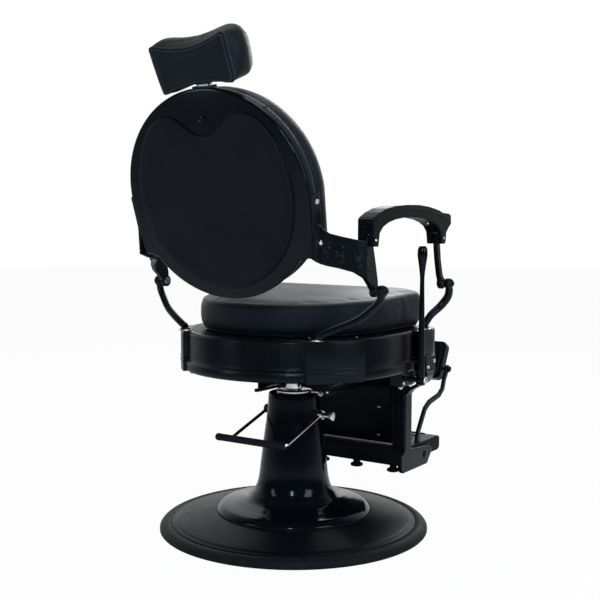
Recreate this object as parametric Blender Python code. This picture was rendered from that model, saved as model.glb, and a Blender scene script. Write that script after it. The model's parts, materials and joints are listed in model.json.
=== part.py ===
"""Hydraulic barber chair: round base, pump column, swivelling seat, reclining back.

Metres, +Z up.  The origin is on the floor under the column's centre line.
The chair faces -Y, so the sitter's right hand is on the -X side.
"""
import math

import bmesh
import bpy
from mathutils import Matrix, Vector

# ---------------------------------------------------------------- clearances
GAP = 0.0003              # between pieces that touch
TURN_GAP = 0.0004         # around a pin or shaft, on the radius

# ---------------------------------------------------------------------- base
BASE_RADIUS = 0.340
BASE_RIM_WIDTH = 0.029
BASE_RIM_HEIGHT = 0.021
BASE_WALL = 0.009
BASE_TOP_HEIGHT = 0.0447
BASE_PAD_RADIUS = 0.032   # of the pad under the pump that stands on the floor
FLANGE_RADIUS = 0.195
FLANGE_HEIGHT = 0.016

# -------------------------------------------------------------------- column
COLUMN_TOP_HEIGHT = 0.345
COLUMN_TOP_RADIUS = 0.0642
COLUMN_FOOT_RADIUS = 0.108
COLUMN_WAIST_RADIUS = 0.0887
COLUMN_WALL = 0.008
CYLINDER_RADIUS = 0.0270
CYLINDER_WALL = 0.0040
RAM_RADIUS = 0.0215
RAM_FOOT_HEIGHT = 0.060
PISTON_LENGTH = 0.020
GLAND_RADIUS = 0.045
GLAND_HEIGHT = 0.0075

# ---------------------------------------------------------------------- pump
SHAFT_DROP = 0.051        # pedal shaft below the column's top
SHAFT_HEIGHT = COLUMN_TOP_HEIGHT - SHAFT_DROP
SHAFT_RADIUS = 0.0070
SHAFT_END = 0.118
SHAFT_CAP_RADIUS = 0.0115
YOKE_REACH = 0.0385
YOKE_BAR = 0.009
PEDAL_HALF_WIDTH = 0.081
PEDAL_BACK = 0.158
PEDAL_DROP = 0.051
PEDAL_ROD_RADIUS = 0.0042
PEDAL_COLLAR_RADIUS = 0.0115
PEDAL_COLLAR_LENGTH = 0.014
GRIP_RADIUS = 0.0092
GRIP_OVERHANG = 0.044
PLUNGER_RADIUS = 0.0060
PLUNGER_LENGTH = 0.080
PUMP_BARREL_RADIUS = 0.0105
PUMP_BARREL_LENGTH = 0.105

# ---------------------------------------------------------------- seat frame
HUB_GAP = 0.0227          # hub above the gland when the seat is at its lowest
HUB_BOTTOM = COLUMN_TOP_HEIGHT + GAP + GLAND_HEIGHT + HUB_GAP
HUB_RADIUS = 0.046
HUB_HEIGHT = 0.0245
FRAME_PLATE_HALF = 0.105
FRAME_PLATE_THICKNESS = 0.009
CROSS_BAR_OFFSET = 0.060
CROSS_BAR_WIDTH = 0.030
CROSS_BAR_HEIGHT = 0.024
RAIL_OFFSET = 0.100
RAIL_THICKNESS = 0.006
RAIL_DEPTH = 0.021
RAIL_DROP = 0.0305        # lower edge of the rails below the hub's
RAIL_BOTTOM = HUB_BOTTOM - RAIL_DROP
RAIL_TAB_WIDTH = 0.030
RAIL_BOLT_RADIUS = 0.0060
LOCK_LEVER_REACH = 0.166
LOCK_LEVER_WIDTH = 0.022
LOCK_LEVER_THICKNESS = 0.006
LOCK_PIVOT_BACK = 0.052
LOCK_PIN_RADIUS = 0.0050

# ----------------------------------------------------------------- seat ring
RING_CENTRE_Y = -0.008
RING_RADIUS = 0.277       # of the round back half; the sides run straight on from it
RING_FRONT_Y = -0.250
RING_CORNER = 0.056
RING_BAND_STEP = 0.006
RING_WALL = 0.015
RING_RISE = 0.0345        # lower edge of the ring above the hub's
RING_BOTTOM = HUB_BOTTOM + RING_RISE
RING_HEIGHT = 0.097
RING_BAND_HEIGHT = 0.026
LEDGE_WIDTH = 0.014
LEDGE_HEIGHT = 0.008
PILASTER_REACH = 0.012
REAR_PILASTER_START = 38.5
REAR_PILASTER_END = 67.5
FRONT_PILASTER_Y = -0.118
PAN_THICKNESS = 0.012

# ------------------------------------------------------------- seat cushion
CUSHION_RADIUS = 0.2520
CUSHION_CENTRE_Y = -0.021
CUSHION_FRONT_Y = -0.258
CUSHION_CORNER = 0.060
CUSHION_HEIGHT = 0.088
CUSHION_CROWN = 0.008
CUSHION_DRAW_IN = 0.015
CUSHION_EDGE = 0.021
CUSHION_SLOPE = 0.034     # rise of the top towards the front, per length

# --------------------------------------- links between seat, back and arms
LINK_X = 0.308            # middle plane of the brackets and front posts
LINK_THICKNESS = 0.012
PIVOT_RISE = 0.116        # lower pivots, at the top of the curved legs, above the ring
PIVOT_HEIGHT = RING_BOTTOM + RING_HEIGHT + PIVOT_RISE
REAR_PIVOT_Y = 0.136
PIVOT_SPACING = 0.340
LINK_BACK = 0.030         # upper pin behind the lower pivot
LINK_RISE = 0.114         # upper pin above the lower pivot
PIVOT_PIN_RADIUS = 0.0055
PIVOT_HEAD_RADIUS = 0.0095
PIVOT_HEAD_THICKNESS = 0.0025
PIVOT_EYE_RADIUS = 0.0145
LEG_BALL_RADIUS = 0.0140
LEG_BALL_X = 0.3285
LEG_RADIUS = 0.0090
LEG_FOOT_RADIUS = 0.014
LEG_FOOT_THICKNESS = 0.007
REAR_LEG_FOOT = (0.1935, 0.194)
FRONT_LEG_FOOT = (0.2785, -0.172)

# ------------------------------------------------------------------ armrest
ARM_HALF_WIDTH = 0.0205
ARM_SLOT_GAP = 0.0015
ARM_PIN_RADIUS = 0.0045
ARM_LENGTH_BEHIND_PIN = 0.0115
ARM_LENGTH_BEFORE_PIN = 0.0415
ARM_TOP_RISE = 0.080
ARM_CROWN_RISE = 0.0505
ARM_FORK_DROP = 0.0145
ARM_FORK_HALF = 0.0125
ARM_SLOT_RISE = 0.0137
LUG_RADIUS = 0.0115

# ----------------------------------------------------------------- backrest
BACK_TILT = 14.0
BACK_RISE = 0.209         # middle of the backrest above the lower pivots
BACK_CENTRE_HEIGHT = PIVOT_HEIGHT + BACK_RISE
BACK_CENTRE_Y = 0.321
BACK_HALF_WIDTH = 0.2515
BACK_HALF_HEIGHT = 0.241
SHELL_THICKNESS = 0.012
BACK_FRAME_THICKNESS = 0.026
BACK_CUSHION_THICKNESS = 0.046
BACK_CUSHION_CROWN = 0.008
BACK_INSET = 0.004
EAR_DROP = 0.140
EAR_INSET = 0.010
BRACKET_GAP = 0.0010      # from the shoulder, whose taper the bracket follows
BRACKET_TAIL = 0.0070     # thickness of the bracket beside the shoulder
PLATE_LOW = -0.128        # ends of the side plate, along the backrest's slope
PLATE_HIGH = 0.0
SIDE_PLATE_THICKNESS = 0.005
BRACKET_BOLT_RADIUS = 0.0062
UNDERCUT_SLOPE = 0.75
UNDERCUT_DEPTH = 0.028
PANEL_HALF_WIDTH = 0.214
PANEL_HALF_HEIGHT = 0.214
PANEL_THICKNESS = 0.009
PANEL_LOBE_HEIGHT = 0.184
PANEL_LOBE_X = 0.100
PANEL_DIP_HEIGHT = 0.138
BOSS_RADIUS = 0.010
BOSS_HEIGHT = 0.173
BOSS_THICKNESS = 0.003

# ----------------------------------------------------------------- headrest
STEM_WIDTH = 0.026
STEM_THICKNESS = 0.008
STEM_DEPTH = 0.021        # from the shell's back face to the stem's near face
STEM_LENGTH = 0.170
STEM_ABOVE_BACK = 0.0105
SOCKET_WIDTH = 0.052
SOCKET_THICKNESS = 0.006
HEAD_TILT = 20.5
HEAD_ROLL = 4.5           # the pillow sits turned down towards the sitter's left
HEAD_SHIFT = 0.006        # and a little over to that side
HEAD_RISE = 0.0075        # plate above the pivot, along the pillow's slope
HEAD_WIDTH = 0.240
HEAD_TAPER = 0.008
HEAD_FOOT_RISE = -0.002   # middle of the pillow's foot from the tilt pivot, along its slope
HEAD_HEIGHT = 0.0998
HEAD_DEPTH = 0.094
HEAD_BACK = 0.0196        # pillow behind the tilt pivot
HEAD_SADDLE = 0.018       # dip of the back seam; the crown between the seams dips less
HEAD_CROWN_DIP = 0.011
HEAD_CORNER = 0.005       # of the seams; the ends between them are rounder
HEAD_END_ROUND = 0.024
HEAD_BULGE = 0.013        # ends swell between the back and front seams
HEAD_ARCH = 0.0112        # the foot drops at both ends
HEAD_RISE_MIDDLE = 0.009  # the top swells between the back and front seams
HEAD_PIVOT_RADIUS = 0.0036
HEAD_BARREL_RADIUS = 0.0065
HEAD_PLATE_WIDTH = 0.070
HEAD_PLATE_THICKNESS = 0.003
HEAD_PLATE_REACH = 0.013  # plate before and behind the tilt pivot
HEAD_POCKET_GAP = 0.0015  # round the plate, in the pocket under the pillow

# ---------------------------------------------------------- recline lever
RECLINE_LEVER_X = 0.3015
RECLINE_LEVER_Y = -0.112
RECLINE_PIVOT_DROP = 0.022
RECLINE_PIVOT_HEIGHT = RING_BOTTOM - RECLINE_PIVOT_DROP
RECLINE_LEVER_LENGTH = 0.331
RECLINE_LEVER_TOP = RECLINE_PIVOT_HEIGHT + RECLINE_LEVER_LENGTH
RECLINE_ROD_RADIUS = 0.0062
RECLINE_BULB_RADIUS = 0.0125
RECLINE_PIVOT_RADIUS = 0.0065
LEVER_BOX_LENGTH = 0.072
LEVER_BOX_BACK_Y = -0.084
LEVER_BOX_WIDTH = 0.032
LEVER_BOX_HEIGHT = 0.040
LEVER_BOX_X = 0.247

# ----------------------------------------------------------------- footrest
SIDE_X = 0.198            # middle plane of the side castings
SIDE_THICKNESS = 0.012
SIDE_DEPTH = 0.036
SIDE_BACK_Y = -0.220
SIDE_TOP_DROP = 0.010     # top of the side castings' posts below the rails
SIDE_TOP = RAIL_BOTTOM - SIDE_TOP_DROP
SIDE_FOOT_REACH = 0.160
EAR_Y = -0.172
EAR_LENGTH = 0.052
EAR_THICKNESS = 0.009
SIDE_FOOT_HEIGHT = 0.048
SIDE_FLANGE_WIDTH = 0.034
SIDE_FLANGE_THICKNESS = 0.008
SHIN_Y = -0.262
SHIN_THICKNESS = 0.008
SHIN_RISE = 0.035         # above the rails' lower edge
SHIN_TOP = RAIL_BOTTOM + SHIN_RISE
SHIN_BORDER = 0.048
SHIN_FRAME_THICKNESS = 0.004
STEP_BACK_Y = -0.200
STEP_LENGTH = 0.250
STEP_DROP = 0.167         # lower footplate below the rails
STEP_TOP = RAIL_BOTTOM - STEP_DROP
STEP_HEIGHT = 0.040
SIDE_DROP = 0.060         # foot of the side castings below the footplate's top
SIDE_BOTTOM = STEP_TOP - SIDE_DROP
STEP_WALL = 0.006
STEP_RIB_HEIGHT = 0.003
BUMPER_RADIUS = 0.017
BUMPER_THICKNESS = 0.008
BUMPER_STEM_RADIUS = 0.010
BUMPER_STEM_LENGTH = 0.014
BUMPER_INNER_X = 0.053
BUMPER_OUTER_X = 0.165
STEP_ARM_X = 0.180
STEP_ARM_THICKNESS = 0.009
STEP_ARM_WIDTH = 0.013
PLATE_PIVOT_Y = -0.516
PLATE_PIVOT_RISE = 0.178
PLATE_PIVOT_HEIGHT = STEP_TOP + PLATE_PIVOT_RISE
PLATE_HALF_WIDTH = 0.168
PLATE_LENGTH = 0.112
PLATE_THICKNESS = 0.024
PLATE_TILT = 64.0
PLATE_PIN_RADIUS = 0.0050

ROUND = 40                # sides of a large turned piece
SMALL = 16                # sides of a pin or a boss


# ======================================================== scene and materials
def clear_scene():
    for item in list(bpy.data.objects):
        bpy.data.objects.remove(item, do_unlink=True)


def material(name, colour, roughness, metallic):
    made = bpy.data.materials.new(name)
    made.use_nodes = True
    shader = made.node_tree.nodes["Principled BSDF"]
    shader.inputs["Base Color"].default_value = (*colour, 1.0)
    shader.inputs["Roughness"].default_value = roughness
    shader.inputs["Metallic"].default_value = metallic
    return made


class Finish:
    """The few surfaces that the chair is made of."""

    TABLE = {
        "gloss_black": ((0.012, 0.012, 0.014), 0.16, 0.0),
        "satin_black": ((0.016, 0.016, 0.018), 0.42, 0.0),
        "chrome": ((0.80, 0.80, 0.82), 0.08, 1.0),
        "steel": ((0.42, 0.42, 0.44), 0.35, 1.0),
        "leather": ((0.018, 0.018, 0.021), 0.46, 0.0),
        "rubber": ((0.015, 0.015, 0.015), 0.80, 0.0),
        "wood": ((0.016, 0.016, 0.018), 0.60, 0.0),
    }

    @staticmethod
    def give(item, finish):
        colour, roughness, metallic = Finish.TABLE[finish]
        item.data.materials.append(material(item.name + "_" + finish, colour, roughness, metallic))


AXES = {}                 # empty name to its world position


def axis_empty(name, position, parent=None):
    """An empty on a joint's axis; the pieces of that body hang from it."""
    empty = bpy.data.objects.new(name, None)
    empty.empty_display_size = 0.03
    bpy.context.collection.objects.link(empty)
    origin = Vector((0.0, 0.0, 0.0))
    if parent:
        empty.parent = bpy.data.objects[parent]
        origin = AXES[parent]
    AXES[name] = Vector(position)
    empty.location = AXES[name] - origin
    return empty


def add_piece(name, mesh_bm, finish, body, flat=False):
    """Turn a bmesh in world places into an object that hangs from its body's empty."""
    mesh = bpy.data.meshes.new(name)
    bmesh.ops.recalc_face_normals(mesh_bm, faces=mesh_bm.faces)
    mesh_bm.to_mesh(mesh)
    mesh_bm.free()
    mesh.transform(Matrix.Translation(-AXES[body]))
    item = bpy.data.objects.new(name, mesh)
    bpy.context.collection.objects.link(item)
    item.parent = bpy.data.objects[body]
    Finish.give(item, finish)
    if not flat:
        mesh.shade_smooth()
        mesh.set_sharp_from_angle(angle=math.radians(35))
    return item


def tool_piece(name, mesh_bm, body):
    """A cutter or an added shape: it works on another object and isn't part of the chair."""
    mesh = bpy.data.meshes.new(name)
    bmesh.ops.recalc_face_normals(mesh_bm, faces=mesh_bm.faces)
    mesh_bm.to_mesh(mesh)
    mesh_bm.free()
    mesh.transform(Matrix.Translation(-AXES[body]))
    item = bpy.data.objects.new(name, mesh)
    bpy.context.collection.objects.link(item)
    item.parent = bpy.data.objects[body]
    item.hide_render = True
    item.hide_set(True)
    item.display_type = "WIRE"
    return item


def combine(item, mesh_bm, operation, body):
    """Cut a shape from an object, or join it on, with an exact Boolean."""
    count = len(item.modifiers)
    tool = tool_piece("%s_tool_%d" % (item.name, count), mesh_bm, body)
    step = item.modifiers.new("shape_%d" % count, "BOOLEAN")
    step.operation = operation
    step.solver = "EXACT"
    step.object = tool
    return step


def cut(item, mesh_bm, body):
    combine(item, mesh_bm, "DIFFERENCE", body)


def join(item, mesh_bm, body):
    combine(item, mesh_bm, "UNION", body)


# ============================================================ shape functions
def box(low, high):
    """A block between two corners."""
    mesh_bm = bmesh.new()
    size = Vector(high) - Vector(low)
    middle = (Vector(high) + Vector(low)) / 2
    matrix = Matrix.Translation(middle) @ Matrix.Diagonal((*size, 1.0))
    bmesh.ops.create_cube(mesh_bm, size=1.0, matrix=matrix)
    return mesh_bm


def loft(rings):
    """Skin a stack of closed rings with the same number of points and cap both ends."""
    mesh_bm = bmesh.new()
    rows = [[mesh_bm.verts.new(point) for point in ring] for ring in rings]
    count = len(rows[0])
    for low, high in zip(rows, rows[1:]):
        for i in range(count):
            j = (i + 1) % count
            mesh_bm.faces.new((low[i], low[j], high[j], high[i]))
    mesh_bm.faces.new(rows[0][::-1])
    mesh_bm.faces.new(rows[-1])
    return mesh_bm


def prism(outline, place, low, high):
    """Extrude a flat outline between two depths; place(u, v, depth) gives world points."""
    return loft([[place(u, v, depth) for u, v in outline] for depth in (low, high)])


def along_x(u, v, depth):
    return Vector((depth, u, v))


def along_z(u, v, depth):
    return Vector((u, v, depth))


def turned(profile, sides=ROUND, centre=(0.0, 0.0)):
    """Spin a profile of (radius, height) points about +Z; radius 0 makes a pole."""
    mesh_bm = bmesh.new()
    rows = []
    for radius, height in profile:
        if radius < 1e-6:
            rows.append([mesh_bm.verts.new((centre[0], centre[1], height))])
            continue
        row = []
        for i in range(sides):
            angle = math.tau * i / sides
            across = centre[0] + radius * math.cos(angle)
            row.append(mesh_bm.verts.new((across, centre[1] + radius * math.sin(angle), height)))
        rows.append(row)
    closed = len(rows[0]) > 1
    pairs = list(zip(rows, rows[1:])) + ([(rows[-1], rows[0])] if closed else [])
    for low, high in pairs:
        skin_rows(mesh_bm, low, high, sides)
    return mesh_bm


def skin_rows(mesh_bm, low, high, sides):
    """Faces between two turned rows, either of which may be a pole."""
    for i in range(sides):
        j = (i + 1) % sides
        if len(low) == 1 and len(high) == 1:
            return
        if len(low) == 1:
            mesh_bm.faces.new((low[0], high[i], high[j]))
        elif len(high) == 1:
            mesh_bm.faces.new((low[i], high[0], low[j]))
        else:
            mesh_bm.faces.new((low[i], high[i], high[j], low[j]))


def seat_outline(radius, front, corner, centre_y, offset=0.0):
    """Plan of the seat: round at the back, straight sides, round corners in front."""
    reach = radius + offset
    right = []
    for k in range(13):
        angle = math.pi / 2 - math.pi / 2 * k / 12
        right.append((reach * math.cos(angle), centre_y + reach * math.sin(angle)))
    turn_y = front + corner
    for k in range(1, 4):
        right.append((reach, centre_y + (turn_y - centre_y) * k / 4))
    for k in range(7):
        angle = -math.pi / 2 * k / 6
        right.append((radius - corner + (corner + offset) * math.cos(angle),
                      turn_y + (corner + offset) * math.sin(angle)))
    right.append(((radius - corner) * 0.5, front - offset))
    left = [(-x, y) for x, y in right[1:][::-1]]
    return right + [(0.0, front - offset)] + left


def swept(rows, closed):
    """Skin rings of equal length; a closed stack joins its last ring to its first."""
    mesh_bm = bmesh.new()
    placed = [[mesh_bm.verts.new(point) for point in row] for row in rows]
    count = len(placed[0])
    pairs = list(zip(placed, placed[1:])) + ([(placed[-1], placed[0])] if closed else [])
    for low, high in pairs:
        for i in range(count):
            j = (i + 1) % count
            mesh_bm.faces.new((low[i], low[j], high[j], high[i]))
    if not closed:
        mesh_bm.faces.new(placed[0][::-1])
        mesh_bm.faces.new(placed[-1])
    return mesh_bm


def cylinder(start, end, radius, sides=SMALL, end_radius=None):
    """A round bar between two points, tapered if it has an end radius."""
    return bar([start, end], [radius, radius if end_radius is None else end_radius], sides)


def bar(points, radii, sides=10):
    """A round bar along a route, with a radius for each point."""
    points = [Vector(point) for point in points]
    rings = []
    side = None
    for i, point in enumerate(points):
        before = points[max(i - 1, 0)]
        after = points[min(i + 1, len(points) - 1)]
        ahead = (after - before).normalized()
        if side is None:
            side = ahead.orthogonal().normalized()
        side = (side - ahead * side.dot(ahead)).normalized()
        other = ahead.cross(side)
        ring = []
        for k in range(sides):
            angle = math.tau * k / sides
            ring.append(point + (side * math.cos(angle) + other * math.sin(angle)) * radii[i])
        rings.append(ring)
    return loft(rings)


def smooth_route(points, steps=4):
    """Points on a smooth curve (Catmull-Rom) through the given points."""
    points = [Vector(point) for point in points]
    padded = [2 * points[0] - points[1]] + points + [2 * points[-1] - points[-2]]
    route = []
    for a, b, c, d in zip(padded, padded[1:], padded[2:], padded[3:]):
        for k in range(steps):
            t = k / steps
            route.append(0.5 * (2 * b + (c - a) * t + (2 * a - 5 * b + 4 * c - d) * t ** 2
                                + (3 * b - a - 3 * c + d) * t ** 3))
    route.append(points[-1])
    return route


def arc(centre, radius, start, end, steps):
    """Points on a circle from one angle to another, in degrees."""
    points = []
    for k in range(steps + 1):
        angle = math.radians(start + (end - start) * k / steps)
        points.append((centre[0] + radius * math.cos(angle), centre[1] + radius * math.sin(angle)))
    return points


def rounded_rectangle(half_width, low, high, radius, steps=3):
    """Outline of a plate with round corners, centred on u = 0."""
    outline = arc((half_width - radius, low + radius), radius, -90, 0, steps)
    outline += arc((half_width - radius, high - radius), radius, 0, 90, steps)
    outline += arc((-half_width + radius, high - radius), radius, 90, 180, steps)
    outline += arc((-half_width + radius, low + radius), radius, 180, 270, steps)
    return outline


# ============================================================ driven positions
RING_TOP = RING_BOTTOM + RING_HEIGHT
RING_INNER = RING_RADIUS - RING_WALL
PAN_TOP = RING_TOP + 0.001
CUSHION_BOTTOM = PAN_TOP + GAP
HUB_TOP = HUB_BOTTOM + HUB_HEIGHT
FRAME_PLATE_BOTTOM = HUB_TOP + GAP
FRAME_PLATE_TOP = FRAME_PLATE_BOTTOM + FRAME_PLATE_THICKNESS
FRONT_PIVOT_Y = REAR_PIVOT_Y - PIVOT_SPACING
PIN_HEIGHT = PIVOT_HEIGHT + LINK_RISE
REAR_PIN_Y = REAR_PIVOT_Y + LINK_BACK
FRONT_PIN_Y = FRONT_PIVOT_Y + LINK_BACK
BACK_DEPTH = SHELL_THICKNESS + BACK_FRAME_THICKNESS + BACK_CUSHION_THICKNESS
LEAN = math.radians(BACK_TILT)


def back_point(u, v, depth):
    """A place on the backrest: across, up along its slope, and forward of the shell's back face."""
    y = BACK_CENTRE_Y + v * math.sin(LEAN) - depth * math.cos(LEAN)
    z = BACK_CENTRE_HEIGHT + v * math.cos(LEAN) + depth * math.sin(LEAN)
    return Vector((u, y, z))


STEM_MIDDLE_DEPTH = STEM_DEPTH + STEM_THICKNESS / 2
HEAD_PIVOT = back_point(0.0, BACK_HALF_HEIGHT + STEM_ABOVE_BACK, STEM_MIDDLE_DEPTH)
PLATE_PIVOT = Vector((0.0, PLATE_PIVOT_Y, PLATE_PIVOT_HEIGHT))


SIDES = (("left", 1.0), ("right", -1.0))


def make_axes():
    axis_empty("chair_base", (0, 0, 0))
    axis_empty("pedal_axis", (0, 0, SHAFT_HEIGHT), "chair_base")
    axis_empty("plunger_axis", (0, YOKE_REACH, SHAFT_HEIGHT), "chair_base")
    axis_empty("ram_axis", (0, 0, COLUMN_TOP_HEIGHT), "chair_base")
    axis_empty("seat_axis", (0, 0, HUB_BOTTOM), "ram_axis")
    axis_empty("lock_axis", (0, LOCK_PIVOT_BACK, HUB_BOTTOM), "seat_axis")
    axis_empty("back_axis", (0, REAR_PIVOT_Y, PIVOT_HEIGHT), "seat_axis")
    axis_empty("head_slide_axis", HEAD_PIVOT, "back_axis")
    axis_empty("head_tilt_axis", HEAD_PIVOT, "head_slide_axis")
    axis_empty("recline_lever_axis", (-RECLINE_LEVER_X, RECLINE_LEVER_Y, RECLINE_PIVOT_HEIGHT), "seat_axis")
    axis_empty("plate_axis", PLATE_PIVOT, "seat_axis")
    for side, sign in SIDES:
        axis_empty("arm_axis_" + side, (sign * LINK_X, REAR_PIN_Y, PIN_HEIGHT), "back_axis")
        axis_empty("post_axis_" + side, (sign * LINK_X, FRONT_PIVOT_Y, PIVOT_HEIGHT), "seat_axis")


# ======================================================================= base
def make_base():
    """Domed base plate with a pad under the pump, and the rubber rim round it."""
    inner = BASE_RADIUS - BASE_RIM_WIDTH
    plate = [
        (0.0, 0.0), (BASE_PAD_RADIUS, 0.0), (BASE_PAD_RADIUS, BASE_TOP_HEIGHT - BASE_WALL),
        (FLANGE_RADIUS, BASE_TOP_HEIGHT - BASE_WALL),
        (inner - BASE_WALL, 0.012), (inner - BASE_WALL, 0.003),
        (inner, 0.003), (inner, BASE_RIM_HEIGHT - 0.001),
        (inner - 0.030, BASE_RIM_HEIGHT + 0.006),
        (inner - 0.070, BASE_TOP_HEIGHT - 0.008),
        (FLANGE_RADIUS + 0.006, BASE_TOP_HEIGHT),
        (0.0, BASE_TOP_HEIGHT),
    ]
    add_piece("base_plate", turned(plate, 56), "satin_black", "chair_base")
    start = inner + GAP
    rim = [
        (start, 0.0), (BASE_RADIUS - 0.001, 0.0), (BASE_RADIUS, 0.002), (BASE_RADIUS, 0.008),
        (BASE_RADIUS - 0.004, 0.014), (BASE_RADIUS - 0.012, BASE_RIM_HEIGHT - 0.001),
        (start + 0.006, BASE_RIM_HEIGHT), (start, BASE_RIM_HEIGHT - 0.002),
    ]
    add_piece("base_rim", turned(rim, 56), "rubber", "chair_base")


def column_outside():
    """Outer profile of the column, from the flange's foot to its top edge."""
    foot = BASE_TOP_HEIGHT + GAP
    flange_top = foot + FLANGE_HEIGHT
    rise = COLUMN_TOP_HEIGHT - flange_top
    return [
        (FLANGE_RADIUS, foot), (FLANGE_RADIUS, foot + 0.005),
        (FLANGE_RADIUS - 0.011, flange_top),
        (COLUMN_FOOT_RADIUS + 0.036, flange_top + 0.007),
        (COLUMN_FOOT_RADIUS + 0.012, flange_top + 0.014),
        (COLUMN_FOOT_RADIUS, flange_top + 0.027),
        (COLUMN_WAIST_RADIUS + 0.007, flange_top + 0.044),
        (COLUMN_WAIST_RADIUS, flange_top + 0.069),
        (COLUMN_WAIST_RADIUS - 0.0051, flange_top + 0.111),
        (COLUMN_TOP_RADIUS + 0.0034, flange_top + 0.83 * rise),
        (COLUMN_TOP_RADIUS, COLUMN_TOP_HEIGHT - 0.003),
        (COLUMN_TOP_RADIUS - 0.003, COLUMN_TOP_HEIGHT),
    ]


def make_column():
    outside = column_outside()
    bore = CYLINDER_RADIUS + GAP
    roof = COLUMN_TOP_HEIGHT - COLUMN_WALL
    foot = outside[0][1]
    inside = [
        (bore, COLUMN_TOP_HEIGHT), (bore, roof),
        (COLUMN_TOP_RADIUS - COLUMN_WALL, roof),
        (COLUMN_WAIST_RADIUS - COLUMN_WALL, foot + FLANGE_HEIGHT + 0.060),
        (COLUMN_FOOT_RADIUS - COLUMN_WALL, foot),
    ]
    column = add_piece("column", turned(outside + inside), "gloss_black", "chair_base")
    reach = COLUMN_FOOT_RADIUS
    hole = cylinder((-reach, 0, SHAFT_HEIGHT), (reach, 0, SHAFT_HEIGHT), SHAFT_RADIUS + TURN_GAP)
    cut(column, hole, "chair_base")


def make_cylinder():
    floor = BASE_TOP_HEIGHT + GAP
    wall_in = CYLINDER_RADIUS - CYLINDER_WALL
    top = COLUMN_TOP_HEIGHT
    profile = [
        (0.0, floor), (CYLINDER_RADIUS, floor), (CYLINDER_RADIUS, top), (wall_in, top),
        (wall_in, floor + 0.008), (0.0, floor + 0.008),
    ]
    add_piece("hydraulic_cylinder", turned(profile, 24), "steel", "chair_base")
    low = COLUMN_TOP_HEIGHT + GAP
    high = low + GLAND_HEIGHT
    bore = RAM_RADIUS + TURN_GAP
    gland = [
        (bore, low), (GLAND_RADIUS, low), (GLAND_RADIUS, high - 0.002), (GLAND_RADIUS - 0.002, high),
        (bore, high),
    ]
    add_piece("gland_ring", turned(gland, 32), "chrome", "chair_base")


def make_pump():
    """Pump barrel and its plunger, behind the hydraulic cylinder and under the yoke's bar."""
    top = SHAFT_HEIGHT - YOKE_BAR / 2 - GAP
    floor = BASE_TOP_HEIGHT + GAP
    bore = PLUNGER_RADIUS + TURN_GAP
    barrel_top = floor + PUMP_BARREL_LENGTH
    centre = (0.0, YOKE_REACH)
    barrel = [
        (0.0, floor), (PUMP_BARREL_RADIUS, floor), (PUMP_BARREL_RADIUS, barrel_top),
        (bore, barrel_top), (bore, floor + 0.010), (0.0, floor + 0.010),
    ]
    add_piece("pump_barrel", turned(barrel, SMALL, centre), "steel", "chair_base")
    bottom = barrel_top - PLUNGER_LENGTH / 2
    plunger = [
        (0.0, bottom), (PLUNGER_RADIUS, bottom), (PLUNGER_RADIUS, top - 0.006),
        (PLUNGER_RADIUS + 0.003, top - 0.005), (PLUNGER_RADIUS + 0.003, top), (0.0, top),
    ]
    add_piece("pump_plunger", turned(plunger, SMALL, centre), "chrome", "plunger_axis")


def make_pump_shaft():
    """Two stub shafts joined by a yoke that passes behind the hydraulic cylinder."""
    height = SHAFT_HEIGHT
    half = YOKE_BAR / 2
    stub_start = CYLINDER_RADIUS + 0.0015
    end = SHAFT_END
    back = YOKE_REACH + half
    body = "pedal_axis"
    side_low = stub_start
    side_high = stub_start + YOKE_BAR
    yoke = box((-side_high, YOKE_REACH - half, height - half), (side_high, back, height + half))
    shaft = add_piece("pump_shaft", yoke, "chrome", body)
    for side, sign in SIDES:
        low, high = sorted((sign * side_low, sign * side_high))
        join(shaft, box((low, -half, height - half), (high, back - 0.001, height + half * 0.9)), body)
        collar_end = PEDAL_HALF_WIDTH + PEDAL_COLLAR_LENGTH / 2
        route = [(sign * (side_low + 0.001), 0, height), (sign * (collar_end + 0.001), 0, height)]
        radii = [SHAFT_RADIUS, SHAFT_RADIUS]
        if side == "right":
            route += [(sign * x, 0, height) for x in (end - 0.008, end - 0.002, end)]
            radii += [SHAFT_RADIUS * 0.8, SHAFT_CAP_RADIUS, SHAFT_CAP_RADIUS * 0.8]
        join(shaft, bar(route, radii, SMALL), body)


def make_pedal():
    half = PEDAL_HALF_WIDTH
    grip_z = SHAFT_HEIGHT - PEDAL_DROP
    body = "pedal_axis"
    corner = 0.018
    ahead = Vector((0, PEDAL_BACK, -PEDAL_DROP)).normalized()
    grip = Vector((0, PEDAL_BACK, grip_z))
    start = Vector((0, 0, SHAFT_HEIGHT)) + ahead * (SHAFT_RADIUS + 0.003)
    route = [start + Vector((half, 0, 0)), grip + Vector((half, 0, 0)) - ahead * corner]
    route += [grip + Vector((half - corner * 0.3, 0, 0)) - ahead * corner * 0.3]
    route += [grip + Vector((half - corner, 0, 0))]
    route += [Vector((-point.x, point.y, point.z)) for point in route[::-1]]
    rod = add_piece("pedal_rod", bar(route, [PEDAL_ROD_RADIUS] * len(route)), "chrome", body)
    for side, sign in SIDES:
        reach = PEDAL_COLLAR_LENGTH / 2
        near = (sign * (half - reach), 0, SHAFT_HEIGHT)
        far = (sign * (half + reach), 0, SHAFT_HEIGHT)
        collar = cylinder(near, far, PEDAL_COLLAR_RADIUS)
        join(rod, collar, body)
    bore = cylinder((-half - 0.02, 0, SHAFT_HEIGHT), (half + 0.02, 0, SHAFT_HEIGHT), SHAFT_RADIUS + GAP)
    cut(rod, bore, body)
    grip_end = (half + GRIP_OVERHANG, PEDAL_BACK, grip_z)
    sleeve = cylinder((-half, PEDAL_BACK, grip_z), grip_end, GRIP_RADIUS)
    cover = add_piece("pedal_grip", sleeve, "rubber", body)
    cut(cover, bar(route, [PEDAL_ROD_RADIUS + GAP] * len(route)), body)


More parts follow.
